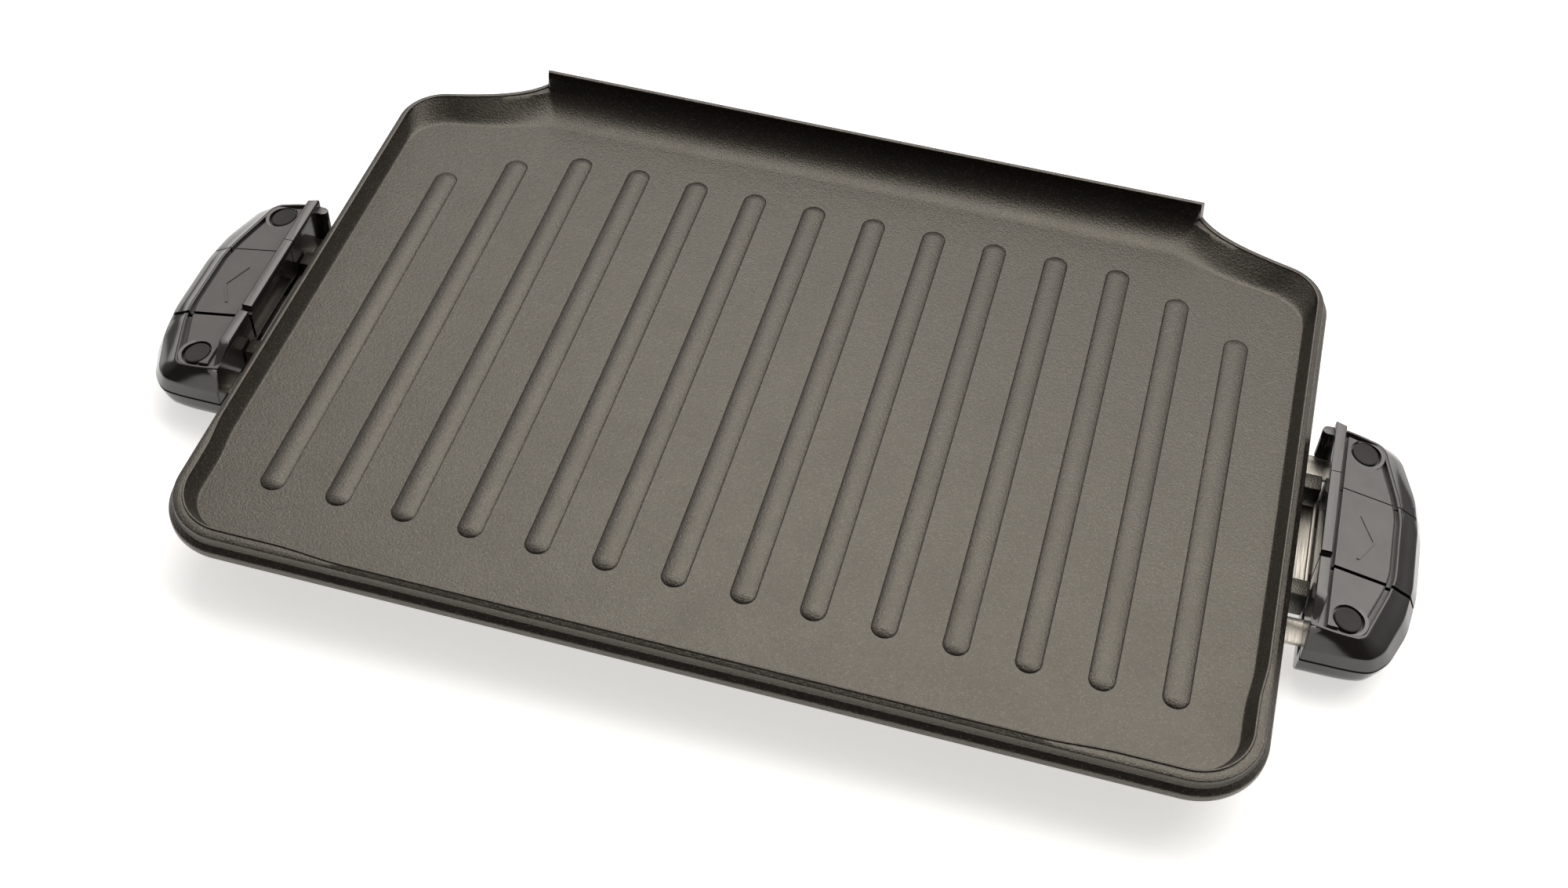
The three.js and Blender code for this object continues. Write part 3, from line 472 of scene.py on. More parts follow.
def makeRubber(name, tone):
    rubber = Finish(name, 0.8, specular=0.25)
    grain = rubber.effect(grainGroup, Scale=2200.0, Unevenness=0.5)
    dust = rubber.effect(dustGroup, Amount=0.08)
    base = rubber.mix(grain["Tone"], shaded(tone, 0.8), shaded(tone, 1.2))
    rubber.paint(rubber.mix(dust["Mask"], base, (0.2, 0.185, 0.17)))
    rubber.rough(grain["Tone"], 0.1, 1.0, 0.7, 0.9)
    rubber.bump(grain["Height"], 0.3, 0.00015)
    return rubber.material


def makeMetal(name, light, dark, roughness, stretch, strength=0.12):
    metal = Finish(name, roughness, metallic=1.0)
    lines = metal.effect(brushGroup, Stretch=stretch)
    grain = metal.effect(grainGroup, Scale=700.0, Unevenness=0.7)
    dust = metal.effect(dustGroup, Amount=0.15)
    base = metal.mix(grain["Tone"], dark, light)
    metal.paint(metal.mix(dust["Mask"], base, shaded(light, 0.7)))
    metal.rough(lines["Height"], 0.25, 0.75, roughness * 0.75, roughness * 1.35)
    metal.bump(lines["Height"], strength, 0.0001)
    return metal.material


def makePlain(name, dark, light, roughness, grainScale=1500.0, bump=0.2):
    plain = Finish(name, roughness)
    grain = plain.effect(grainGroup, Scale=grainScale, Unevenness=0.6)
    wear = plain.effect(wearGroup, Amount=0.2)
    base = plain.mix(grain["Tone"], dark, light)
    plain.paint(plain.mix(wear["Mask"], base, shaded(light, 1.8)))
    plain.rough(grain["Tone"], 0.1, 1.0, roughness * 0.85, roughness * 1.12)
    plain.bump(grain["Height"], bump, 0.00015)
    return plain.material


lengthways = (50, 1800, 1800)  # how far each pattern is stretched along X, Y and Z
crossways = (2600, 60, 2600)
noDirection = (900, 900, 900)
finishes = {
    "plate_coat": makeCoat(),
    "grip_plastic": makePlastic(),
    "cap_rubber": makeRubber("greyCapRubber", (0.045, 0.041, 0.04)),
    "foot_rubber": makeRubber("blackFootRubber", (0.03, 0.028, 0.027)),
    "stainless": makeMetal("brushedStainless", (0.5, 0.465, 0.41), (0.4, 0.37, 0.32), 0.42, crossways),
    "zinc": makeMetal("zincPlating", (0.62, 0.62, 0.6), (0.46, 0.46, 0.45), 0.36, noDirection),
    "pan_steel": makeMetal("aluminisedSheet", (0.6, 0.6, 0.585), (0.47, 0.47, 0.46), 0.42, lengthways),
    "sheath": makeMetal("oxidisedSheath", (0.16, 0.14, 0.125), (0.07, 0.062, 0.058), 0.5, noDirection, 0.3),
    "phenolic": makePlain("blackPhenolic", (0.014, 0.013, 0.013), (0.03, 0.028, 0.027), 0.5),
    "steatite": makePlain("creamSteatite", (0.55, 0.5, 0.41), (0.74, 0.69, 0.6), 0.75, 900.0, 0.3),
    "pin_brass": makeMetal("nickelledBrass", (0.66, 0.6, 0.46), (0.5, 0.45, 0.34), 0.28, (2000, 60, 2000)),
}
print("finishes made:", len(finishes))

plate = {  # millimetres, and degrees for rearTurn and wallTurn
    "beadReach": 2.4, "beadRise": 1.6, "rimHeight": 7.1, "rimThickness": 2.8, "rimFillet": 3.6, "lip": 0.8,
    "rimFall": 0.9, "edgeRound": 0.55, "gripClearance": 9.8, "frontRadius": 24, "rearRadius": 19.5,
    "rearSetback": 37.7, "rearTurn": 75, "scallopLead": (-17.4, 4.7), "scallopTail": (7.2, -9.6),
    "splashHeight": 15, "splashEndMargin": 52.9, "splashEndStep": 0.8, "splashCove": 16.2, "wallTurn": 33,
    "floorThickness": 4.5, "floorCornerStart": 12, "floorCorner": (-20, 8), "floorCornerBend": (-6, 6),
    "floorLead": (-40, 11), "floorTail": (16, -2), "wallFootBack": 12, "cornerExtra": 1.5,
    "cornerSideStart": 36, "cornerSideJog": 18, "cornerFrontStart": 46, "cornerFrontJog": 26,
    "wallReach": 0.8,  # share of the inner side's width that the slanting wall takes
}
halfLength = gripX / mm - plate["gripClearance"]
halfDepth = plateHigh.y / mm - plate["beadReach"]
surface = floorZ / mm
rimTop = surface + plate["rimHeight"]
rearCornerY = halfDepth - plate["rearSetback"]
splashHalf = halfLength - plate["splashEndMargin"]


def straight(a, b, steps):
    return [(lerp(a[0], b[0], k / steps), lerp(a[1], b[1], k / steps)) for k in range(steps)]


def arc(cx, cy, radius, start, end, steps):
    turns = [math.radians(lerp(start, end, k / steps)) for k in range(steps)]
    return [(cx + radius * math.cos(a), cy + radius * math.sin(a)) for a in turns]


def bezierPoint(p0, p1, p2, p3, t):
    s = 1 - t
    weights = (s**3, 3 * s * s * t, 3 * s * t * t, t**3)
    return tuple(sum(w * p[i] for w, p in zip(weights, (p0, p1, p2, p3))) for i in (0, 1))


def bezier(p0, p1, p2, p3, steps):
    return [bezierPoint(p0, p1, p2, p3, k / steps) for k in range(steps)]


# points in each stretch of the plate's outline, in the order they follow
outlineSteps = {
    "front": 3, "frontJog": 6, "frontRun": 2, "frontCorner": 26, "sideRun": 2, "sideJog": 6, "side": 5,
    "rearCorner": 20, "scallop": 24, "wallEnd": 4, "wall": 6,
}


# from the front middle round the front corner and up the side
def frontAndSide(side, front, radius, sideEnd):
    steps = outlineSteps
    frontJog = halfLength - plate["cornerFrontStart"]
    jogStart = frontJog - plate["cornerFrontJog"]
    sideJog = -halfDepth + plate["cornerSideStart"]
    jogEnd = sideJog + plate["cornerSideJog"]
    points = straight((0, front), (jogStart, front), steps["front"])
    points += straight((jogStart, front), (frontJog, front), steps["frontJog"])
    points += straight((frontJog, front), (side - radius, front), steps["frontRun"])
    points += arc(side - radius, front + radius, radius, -90, 0, steps["frontCorner"])
    points += straight((side, front + radius), (side, sideJog), steps["sideRun"])
    points += straight((side, sideJog), (side, jogEnd), steps["sideJog"])
    return points + straight((side, jogEnd), (side, sideEnd), steps["side"])


# along the rear, from the end of the splash wall to the middle
def rearRun(start, end):
    steps = outlineSteps
    wallEnd = (start[0] - plate["splashEndStep"], start[1])
    return straight(start, wallEnd, steps["wallEnd"]) + straight(wallEnd, end, steps["wall"]) + [end]


def shifted(point, step):
    return point[0] + step[0], point[1] + step[1]


# right half of the outline, inset from the rim's outer face, from the front middle to the rear middle
def rightOutline(inset):
    turn = math.radians(plate["rearTurn"])
    radius = plate["rearRadius"] - inset
    cornerX = halfLength - plate["rearRadius"]
    shoulder = (cornerX + radius * math.cos(turn), rearCornerY + radius * math.sin(turn))
    lead = shifted(shoulder, plate["scallopLead"])
    wallStart = (splashHalf - inset * 0.4, halfDepth - inset)
    tail = shifted(wallStart, plate["scallopTail"])
    points = frontAndSide(halfLength - inset, -halfDepth + inset, plate["frontRadius"] - inset, rearCornerY)
    points += arc(cornerX, rearCornerY, radius, 0, plate["rearTurn"], outlineSteps["rearCorner"])
    points += bezier(shoulder, lead, tail, wallStart, outlineSteps["scallop"])
    return points + rearRun(wallStart, (0, wallStart[1]))


# the same stretches for the line where the cooking surface ends
def rightFloorLine():
    edge = plate["rimThickness"] + plate["rimFillet"]
    side = halfLength - edge
    rear = halfDepth - plate["rimThickness"] - plate["splashCove"]
    sideEnd = (side, rearCornerY - plate["floorCornerStart"])
    knee = (side, rearCornerY)
    corner = shifted(knee, plate["floorCorner"])
    wallFoot = (splashHalf - plate["wallFootBack"], rear - 1)
    tail = shifted(wallFoot, plate["floorTail"])
    points = frontAndSide(side, -halfDepth + edge, plate["frontRadius"] - edge, sideEnd[1])
    bend = shifted(knee, plate["floorCornerBend"])
    points += bezier(sideEnd, knee, bend, corner, outlineSteps["rearCorner"])
    points += bezier(corner, shifted(knee, plate["floorLead"]), tail, wallFoot, outlineSteps["scallop"])
    return points + rearRun(wallFoot, (0, rear))


def allRound(right):
    return right + [(-x, y) for x, y in reversed(right[1:-1])]


# a number for each point of the right half, from one number or a function per stretch
def alongHalf(rules):
    values = []
    for name, count in outlineSteps.items():
        rule = rules.get(name, 0)
        for k in range(count):
            values.append(rule(k / count) if callable(rule) else rule)
    values.append(values[-1])
    return values + list(reversed(values[1:-1]))


cornerWeight = alongHalf({"frontJog": smoothStep, "frontRun": 1, "frontCorner": 1, "sideRun": 1,
                          "sideJog": lambda t: 1 - smoothStep(t)})
splashWeight = alongHalf({"wallEnd": smoothStep, "wall": 1})
coveWeight = alongHalf({"scallop": lambda t: smoothStep((t - 0.45) / 0.55), "wallEnd": 1, "wall": 1})


def blendLines(first, second, weights):
    return [(lerp(a[0], b[0], w), lerp(a[1], b[1], w)) for a, b, w in zip(first, second, weights)]


# how far in and how far down the inner side is at step t: a slanting wall that turns into the floor
def filletStep(t):
    reach = plate["wallReach"]
    return bezierPoint((0, 0), (reach * 0.82, 0.82), (reach + 0.04, 1), (1, 1), t)


# the same for the hollow curve of the splash wall, from one angle of its arc to another
def coveStep(t, start, end):
    turn = math.radians(lerp(start, end, t))
    low, high = math.sin(math.radians(start)), math.sin(math.radians(end))
    return 1 - math.cos(turn), (math.sin(turn) - low) / (high - low)


def makePlateSkin():
    rise = plate["splashHeight"] - plate["rimHeight"]
    tops = [rimTop + rise * w for w in splashWeight]
    extra = plate["cornerExtra"]
    wall = plate["rimThickness"]
    outside = allRound(rightOutline(0))
    inside = blendLines(allRound(rightOutline(wall)), allRound(rightOutline(wall + extra)), cornerWeight)
    floorLine = allRound(rightFloorLine())
    cornerFloor = allRound(rightOutline(wall + plate["rimFillet"] + extra))
    floorLine = blendLines(floorLine, cornerFloor, cornerWeight)
    widths = [wall + extra * w for w in cornerWeight]

    def level(inset, height):
        return [(x, y, height) for x, y in allRound(rightOutline(inset))]

    # a level of the rim's top: a share of the way in, less a fixed distance back, and a drop
    def rimLevel(share, back, drop):
        ring = []
        for a, b, width, top in zip(outside, inside, widths, tops):
            across = share - back / width
            ring.append((lerp(a[0], b[0], across), lerp(a[1], b[1], across), top - drop))
        return ring

    under = surface - plate["floorThickness"]
    bead = -plate["beadReach"]
    ledge = surface + 1
    beadTop = ledge + plate["beadRise"]
    lip = plate["lip"]
    fall = plate["rimFall"]
    edge = plate["edgeRound"]
    outerSteps = [
        (11, under), (3.2, under), (1.2, under + 0.25), (-0.6, under + 1.0), (bead + 0.3, under + 2.1),
        (bead, under + 2.9), (bead, ledge - 0.5), (bead + 0.15, ledge - 0.1), (bead + 0.5, ledge + 0.25),
        (-0.35, beadTop - 0.35), (-0.08, beadTop), (0, beadTop + 0.5),
    ]
    rimSteps = [
        (0, 0, fall + 0.5), (0, -0.04, fall + 0.25), (0, -0.18, fall + 0.06), (0, -0.4, fall - 0.05),
        (1, lip + 0.35, 0.42), (1, lip + 0.15, 0.5), (1, lip, 0.42), (1, lip - 0.06, 0.12),
        (1, lip - 0.2, 0), (1, 0.28, 0), (1, 0.08, 0.08), (1, 0, edge * 0.5),
    ]
    rings = [level(*step) for step in outerSteps] + [rimLevel(*step) for step in rimSteps]
    # the splash wall alone, down to the height of the rim
    meet = plate["wallTurn"]
    upperSteps, lowerSteps = 5, 14
    for k in range(upperSteps + 1):
        across, down = coveStep(k / upperSteps, 0, meet)
        ring = []
        for a, b, top, cove in zip(inside, floorLine, tops, coveWeight):
            u = across * cove
            ring.append((lerp(a[0], b[0], u), lerp(a[1], b[1], u), lerp(top - edge, rimTop - edge, down)))
        rings.append(ring)
    # every inner side together, down to the cooking surface
    for k in range(1, lowerSteps + 1):
        t = k / lowerSteps
        ring = []
        coveAcross, coveDown = coveStep(t, meet, 90)
        for a, b, cove in zip(inside, floorLine, coveWeight):
            across, down = filletStep(t)
            u = lerp(across, coveAcross, cove)
            v = lerp(down, coveDown, cove)
            ring.append((lerp(a[0], b[0], u), lerp(a[1], b[1], u), lerp(rimTop - edge, surface, v)))
        rings.append(ring)
    return [[(x * mm, y * mm, z * mm) for x, y, z in ring] for ring in rings]


# ribs: a Geometry Nodes tree that sets rounded bars side by side
ribs = {  # millimetres
    "count": 14, "sideMargin": 30.5, "width": 9.6, "height": 1.35, "frontMargin": 30.2, "rearMargin": 34.7,
    "secondStep": 9.4, "outerStep": 25.1, "crown": 0.6, "rounds": 20, "loops": 13,
}


# one rib as a disc of rings, radius 1, that the tree stretches
def ribDisc():
    bm = bmesh.new()
    loops = []
    for ring in range(1, ribs["loops"] + 1):
        radius = (ring / ribs["loops"]) ** 0.85
        count = ribs["rounds"] * 2
        turns = [math.pi * 2 * (k + 0.5) / count for k in range(count)]
        loops.append([bm.verts.new((radius * math.cos(a), radius * math.sin(a), 0)) for a in turns])
    for inner, outer in zip(loops, loops[1:]):
        count = len(inner)
        for k in range(count):
            bm.faces.new((inner[k], outer[k], outer[(k + 1) % count], inner[(k + 1) % count]))
    core = loops[0]
    half = len(core) // 2
    # the middle of the bar closes with two strips of quads
    for start in (0, half):
        for k in range(half // 2):
            near, far = start + k, start + half - 2 - k
            corners = (core[near], core[near + 1], core[far], core[far + 1])
            if len(set(corners)) == 4:
                bm.faces.new(corners)
    bm.faces.new((core[0], core[half - 1], core[half], core[-1]))
    bmesh.ops.recalc_face_normals(bm, faces=bm.faces)
    mesh = bpy.data.meshes.new("ribDisc")
    bm.to_mesh(mesh)
    bm.free()
    return mesh


def geometryTree(name, inputs):
    geometry = "NodeSocketGeometry"
    return nodeGroup(name, "GeometryNodeTree", {"Geometry": geometry, **inputs}, ("Geometry",), geometry)


# the last step of a tree: its material is set, and it goes out
def paintedOut(tree, geometry, start, end):
    paint = newNode(tree, "GeometryNodeSetMaterial", {"Geometry": geometry, "Material": start["Material"]})
    link(tree, paint.outputs[0], end[0])
    return tree


# the tree's result as a plain mesh; values go in by each socket's identifier
def runTree(tree, source, values):
    obj = newObject("treeSource", source)
    step = obj.modifiers.new("tree", "NODES")
    step.node_group = tree
    identifiers = {item.name: item.identifier for item in tree.interface.items_tree if item.in_out == "INPUT"}
    for key, value in values.items():
        step[identifiers[key]] = value
    return freed(applied(obj))


def makeRibTree():
    tree, start, end = geometryTree("griddleRibs", {
        "Count": 14, "Pitch": 0.0254, "Half Width": 0.0048, "Height": 0.00135, "Front": -0.1, "Rear": 0.1,
        "Second Step": 0.009, "Outer Step": 0.025, "Crown": 0.6, "Floor": 0.025,
        "Material": "NodeSocketMaterial",
    })

    def work(operation, *values):
        return mathNode(tree, operation, *values)

    halfWidth = start["Half Width"]
    row = newNode(tree, "GeometryNodeMeshLine", {"Count": start["Count"]}, mode="OFFSET")
    keep = newNode(tree, "GeometryNodeCaptureAttribute", domain="POINT")
    keep.capture_items.new("FLOAT", "Number")
    link(tree, row.outputs[0], keep.inputs["Geometry"])
    link(tree, newNode(tree, "GeometryNodeInputIndex").outputs[0], keep.inputs["Number"])
    spread = newNode(tree, "GeometryNodeInstanceOnPoints",
                     {"Points": keep.outputs["Geometry"], "Instance": start["Geometry"]})
    real = newNode(tree, "GeometryNodeRealizeInstances", {0: spread.outputs[0]})
    # place of each point inside its own unit disc
    own = splitNode(tree, newNode(tree, "GeometryNodeInputPosition").outputs[0])
    x, y = own["X"], own["Y"]
    rib = keep.outputs["Number"]
    last = work("SUBTRACT", start["Count"], 1)
    fromEdge = work("MINIMUM", rib, work("SUBTRACT", last, rib))
    isOuter = work("LESS_THAN", fromEdge, 0.5)
    isSecond = work("SUBTRACT", work("LESS_THAN", fromEdge, 1.5), isOuter)
    step = work("ADD", work("MULTIPLY", isOuter, start["Outer Step"]),
                work("MULTIPLY", isSecond, start["Second Step"]))
    ribX = work("MULTIPLY", work("SUBTRACT", rib, work("MULTIPLY", last, 0.5)), start["Pitch"])
    newX = work("ADD", ribX, work("MULTIPLY", x, halfWidth))
    rearCentre = work("SUBTRACT", work("SUBTRACT", start["Rear"], step), halfWidth)
    frontCentre = work("ADD", start["Front"], halfWidth)
    isRear = work("GREATER_THAN", y, 0)
    centreY = work("ADD", work("MULTIPLY", isRear, rearCentre),
                   work("MULTIPLY", work("SUBTRACT", 1, isRear), frontCentre))
    newY = work("ADD", centreY, work("MULTIPLY", y, halfWidth))
    radius = work("SQRT", work("ADD", work("MULTIPLY", x, x), work("MULTIPLY", y, y)))
    wave = work("COSINE", work("MULTIPLY", work("MINIMUM", radius, 1), math.pi / 2))
    crown = work("POWER", work("MAXIMUM", wave, 0), start["Crown"])
    newZ = work("ADD", start["Floor"], work("MULTIPLY", crown, start["Height"]))
    place = newNode(tree, "ShaderNodeCombineXYZ", {0: newX, 1: newY, 2: newZ})
    shape = newNode(tree, "GeometryNodeSetPosition",
                    {"Geometry": real.outputs[0], "Position": place.outputs[0]})
    return paintedOut(tree, shape.outputs[0], start, end)


def makeRibs():
    count = ribs["count"]
    values = {
        "Count": count,
        "Pitch": 2 * (halfLength - ribs["sideMargin"]) / (count - 1) * mm,
        "Half Width": ribs["width"] / 2 * mm,
        "Height": ribs["height"] * mm,
        "Front": (-halfDepth + ribs["frontMargin"]) * mm,
        "Rear": (halfDepth - ribs["rearMargin"]) * mm,
        "Second Step": ribs["secondStep"] * mm,
        "Outer Step": ribs["outerStep"] * mm,
        "Crown": ribs["crown"],
        "Floor": floorZ,
        "Material": finishes["plate_coat"],
    }
    return runTree(makeRibTree(), ribDisc(), values)


# closed loops of open edges
def openLoops(mesh):
    bm = bmesh.new()
    bm.from_mesh(mesh)
    edges = {edge for edge in bm.edges if edge.is_boundary}
    loops = []
    while edges:
        edge = edges.pop()
        first, at = edge.verts
        loop = [first.co.copy(), at.co.copy()]
        while True:
            following = [e for e in at.link_edges if e in edges]
            if not following:
                break
            edges.discard(following[0])
            at = following[0].other_vert(at)
            if at is first:
                break
            loop.append(at.co.copy())
        loops.append(loop)
    bm.free()
    return loops


# flat cooking surface inside its outer line, with a hole at the foot of each rib
def makeSurface(outer, holes):
    points = []
    edges = []
    for loop in [outer, *holes]:
        first = len(points)
        points += [Vector((p[0], p[1])) for p in loop]
        edges += [(first + k, first + (k + 1) % len(loop)) for k in range(len(loop))]
    result = delaunay_2d_cdt(points, edges, [], 0, 1e-9)
    verts, faces = result[0], result[2]

    def inside(x, y, loop):
        crossings = 0
        for a, b in zip(loop, loop[1:] + loop[:1]):
            if (a[1] > y) != (b[1] > y) and x < (b[0] - a[0]) * (y - a[1]) / (b[1] - a[1]) + a[0]:
                crossings += 1
        return crossings % 2 == 1

    kept = []
    for face in faces:
        x = sum(verts[v][0] for v in face) / len(face)
        y = sum(verts[v][1] for v in face) / len(face)
        if inside(x, y, outer) and not any(inside(x, y, hole) for hole in holes):
            kept.append(face)
    return meshFrom("cookingSurface", [(v[0], v[1], floorZ) for v in verts], kept)


lugs = {  # millimetres: outwards from X = 0, along a grip from its middle, and down from the surface
    "reach": 204.8, "root": 184, "near": 21.6, "far": 28.8, "top": 3.5, "bottom": 15.5,
    "restInner": 187, "restOuter": 194, "restNear": 34.6, "restFar": 43.6, "restBottom": 10.55,
    "keeperInner": 189, "keeperOuter": 196, "keeperTop": 6, "keeperBottom": 11.9,
    "webInner": 190.75, "webOuter": 194.25, "edge": 0.5,
}


# each pair is where the block starts and ends: outwards, along the grip, and down
def lugBlock(side, reach, across, drop):
    xs = sorted(side * x * mm for x in reach)
    ys = sorted(gripY + y * mm for y in across)
    zs = sorted(floorZ - z * mm for z in drop)
    obj = newObject("lug", boxMesh("lug", *zip(xs, ys, zs)))
    return freed(softEdges(obj, lugs["edge"] * mm, 2, 60))


def makeLugs():
    keeper = (-lugs["near"] - 1, lugs["near"] + 1)
    top = lugs["top"]
    blocks = []
    for side in bothEnds:
        for end in bothEnds:
            lug = (end * lugs["near"], end * lugs["far"])
            rest = (end * lugs["restNear"], end * lugs["restFar"])
            blocks.append((side, (lugs["root"], lugs["reach"]), lug, (lugs["bottom"], top)))
            blocks.append((side, (lugs["restInner"], lugs["restOuter"]), rest, (lugs["restBottom"], top)))
        depth = (lugs["keeperBottom"], lugs["keeperTop"])
        blocks.append((side, (lugs["keeperInner"], lugs["keeperOuter"]), keeper, depth))
        blocks.append((side, (lugs["webInner"], lugs["webOuter"]), keeper, (lugs["keeperTop"] + 1, top)))
    return [lugBlock(*block) for block in blocks]


def makeGriddlePlate():
    rings = makePlateSkin()
    ribMesh = makeRibs()
    holes = [[(p.x, p.y) for p in loop] for loop in openLoops(ribMesh)]
    outer = [(p[0], p[1]) for p in rings[-1]]
    top = makeSurface(outer, holes)
    skin = ringLoft("plateSkin", rings, (True, False))
    whole = tidyMesh(joinMeshes("griddlePlate", [skin, top, ribMesh]), 2e-6)
    obj = newObject("griddlePlate", whole)
    print("plate body:", len(obj.data.polygons), "faces, open loops", len(openLoops(obj.data)))
    addOn(obj, *makeLugs())
    smoothByAngle(obj, 38)
    # the cooking surface stays truly flat between the ribs
    flatPlane(obj, 0, 1, lambda face: abs(face.center.z - floorZ) < 1e-6)
    return finishPiece(obj, "griddle", "plate_coat", ["griddle_plate"])


griddlePlate = makeGriddlePlate()
print("griddle plate made:", len(griddlePlate.data.polygons), "faces")

# the right grip is made, and the left one is its mirror image
grip = {  # millimetres
    "wall": 2.2, "seamDrop": 10.7, "seamGap": 0.15, "faceRise": 2.7, "faceSlope": 0.206, "faceReach": 29.3,
    "faceHalf": 47.0, "shoulderDrop": 4.2, "shoulderReach": 35.6, "screwReach": 13.1, "screwEnd": 12.2,
    "railHeight": 8.6, "railWidth": 4.2, "railTip": 2.4, "railFall": 13, "railSlant": 0.35,
    "cornerRound": 3.2, "earReach": 4, "earHalf": 2.1, "earEnd": 6.3, "earRise": 4.6,
    "capRadius": 5.05, "seatRadius": 5.95, "seatDepth": 2, "headSeatDrop": 5, "headRadius": 3.8,
    "boreRadius": 2, "bossRadius": 5, "bossTopRadius": 7.2, "bayEnd": 32.2, "bayMargin": 2.5,
    "openingHalf": 14, "frontGap": 1.5, "rearGap": 0.5, "railNotch": 1.6, "railOverhang": 2.9,
    "slideFloor": 3.6, "skirt": 8, "latchReach": 24, "legReach": 10.6, "legRadius": 3.4, "legDrop": 3.4,
    "legBore": 1.5, "play": 0.3, "footEnd": 17.3, "footRadius": 6.3, "baseSeat": 2.2, "baseBossRadius": 5.2,
    "strapDrop": 1.8, "stopBack": 8.2, "stopWidth": 2, "stopHalf": 7, "stopDrop": 4.4,
}
gripWidth = (baseHigh.x - baseLow.x) / mm
gripHalf = (baseHigh.y - baseLow.y) / 2 / mm
inner = gripX / mm
middle = gripY / mm
seamZ = surface - grip["seamDrop"]
upperBottom = seamZ + grip["seamGap"]
bayHalf = gripHalf - grip["bayEnd"]
screwX = inner + grip["screwReach"]
screwSpread = gripHalf - grip["screwEnd"]
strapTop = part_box("strap_front")[1].z / mm
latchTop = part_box("latch_plate_right")[1].z / mm
slideLow = seamZ + grip["slideFloor"]
farOut = gripWidth + 5  # past a grip's outer side
highUp = surface + 20  # above every part of a grip


def faceHeight(x):
    return surface + grip["faceRise"] - grip["faceSlope"] * (x - screwX)


# corners of a closed outline turned into short curves, the same number of points for each
def roundCorners(points, radii, steps=5):
    count = len(points)
    result = []
    for k in range(count):
        at = Vector(points[k])
        before = Vector(points[k - 1]) - at
        after = Vector(points[(k + 1) % count]) - at
        first = at + before.normalized() * min(radii[k], before.length * 0.45)
        last = at + after.normalized() * min(radii[k], after.length * 0.45)
        for step in range(steps + 1):
            t = step / steps
            result.append((1 - t) ** 2 * first + 2 * t * (1 - t) * at + t * t * last)
    return result


# one level of a grip's outline: how far out it reaches, half its length, where its inner side is,
# and how far it has turned from the round lower outline into the cornered one of the face
def gripRing(reach, half, start, heightAt, face=0.0):
    outer = inner + reach
    w = gripWidth
    low = [(w * 0.524, 1), (w * 0.34, 0.98), (w * 0.196, 0.865), (2.2, 0.59), (0, 0.26)]
    high = [(w * 0.524, 1), (w * 0.3, 0.978), (w * 0.235, 0.935), (1.9, 0.47), (0.3, 0.3)]
    side = [(inner + start, 1)]
    side += [(outer - lerp(a[0], b[0], face), lerp(a[1], b[1], face)) for a, b in zip(low, high)]
    loop = [(x, middle - half * share) for x, share in side]
    loop += [(x, middle + half * share) for x, share in reversed(side)]
    soft = lerp(grip["cornerRound"], 1.3, face)
    radii = [0.7, 7, soft, soft, lerp(3.2, 4, face), 3, 3, lerp(3.2, 4, face), soft, soft, 7, 0.7]
    return [(p.x * mm, p.y * mm, heightAt(p.x) * mm) for p in roundCorners(loop, radii)]


# a box given from the grip's inner side, its middle and the table top
def gripBlock(low, high):
    place = (inner, middle, 0)
    ends = [[(a + b) * mm for a, b in zip(corner, place)] for corner in (low, high)]
    return boxMesh("block", *ends)


def placedLathe(profile, sides, place):
    mesh = latheMesh(profile, sides)
    mesh.transform(Matrix.Diagonal((mm, mm, mm, 1)))
    return moved(mesh, place)


def gripPost(reach, across, bottom, top, radius, topRadius=None):
    place = Matrix.Translation(((inner + reach) * mm, (middle + across) * mm, 0))
    return placedLathe([(radius, bottom), (topRadius or radius, top)], 40, place)


# heights along a level ring, and along one that follows the sloping face
def plain(height):
    return lambda x: height


def belowFace(drop):
    return lambda x: faceHeight(x) - drop


# outer form of the upper shell, with its border, groove and sunk panel
def makeUpperForm():
    shoulder = grip["shoulderReach"]
    half = gripHalf
    shoulderZ = surface - grip["shoulderDrop"]
    reach = grip["faceReach"]
    face = grip["faceHalf"]
    rail = grip["railWidth"]
    levels = [
        (gripWidth - 0.35, half - 0.35, 0.3, plain(upperBottom), 0),
        (gripWidth, half, 0, plain(upperBottom + 0.4), 0),
        (lerp(gripWidth, shoulder, 0.85), half - 0.4, 0, plain(lerp(seamZ, shoulderZ, 0.85)), 0.25),
        (shoulder + 0.05, half - 0.48, 0, plain(shoulderZ - 0.14), 0.3),
        (shoulder - 0.16, half - 0.58, 0, plain(shoulderZ + 0.12), 0.32),
        (lerp(shoulder, reach, 0.5), lerp(half - 0.5, face, 0.5) + 0.05, 0,
         lambda x: lerp(shoulderZ, faceHeight(x), 0.5) + 0.18, 0.68),
        (reach + 0.35, face + 0.25, 0, belowFace(0.3), 0.97),
        (reach + 0.08, face + 0.06, 0, belowFace(0.07), 1),
        (reach - 0.25, face - 0.2, 0, belowFace(0), 1),
        (reach - 0.75, face - 0.7, rail + 0.15, belowFace(0), 1),
        (reach - 0.95, face - 0.9, rail + 0.2, belowFace(0.15), 1),
        (reach - 1.0, face - 0.95, rail + 0.22, belowFace(2.2), 1),
        (reach - 2.6, face - 2.35, rail + 1.6, belowFace(2.2), 1),
        (reach - 2.65, face - 2.4, rail + 1.65, belowFace(0.5), 1),
        (reach - 2.8, face - 2.5, rail + 1.8, belowFace(0.34), 1),
        (reach - 3.2, face - 2.8, rail + 2.2, belowFace(0.3), 1),
    ]
    rings = [gripRing(*level) for level in levels]
    return ringLoft("upperForm", rings)


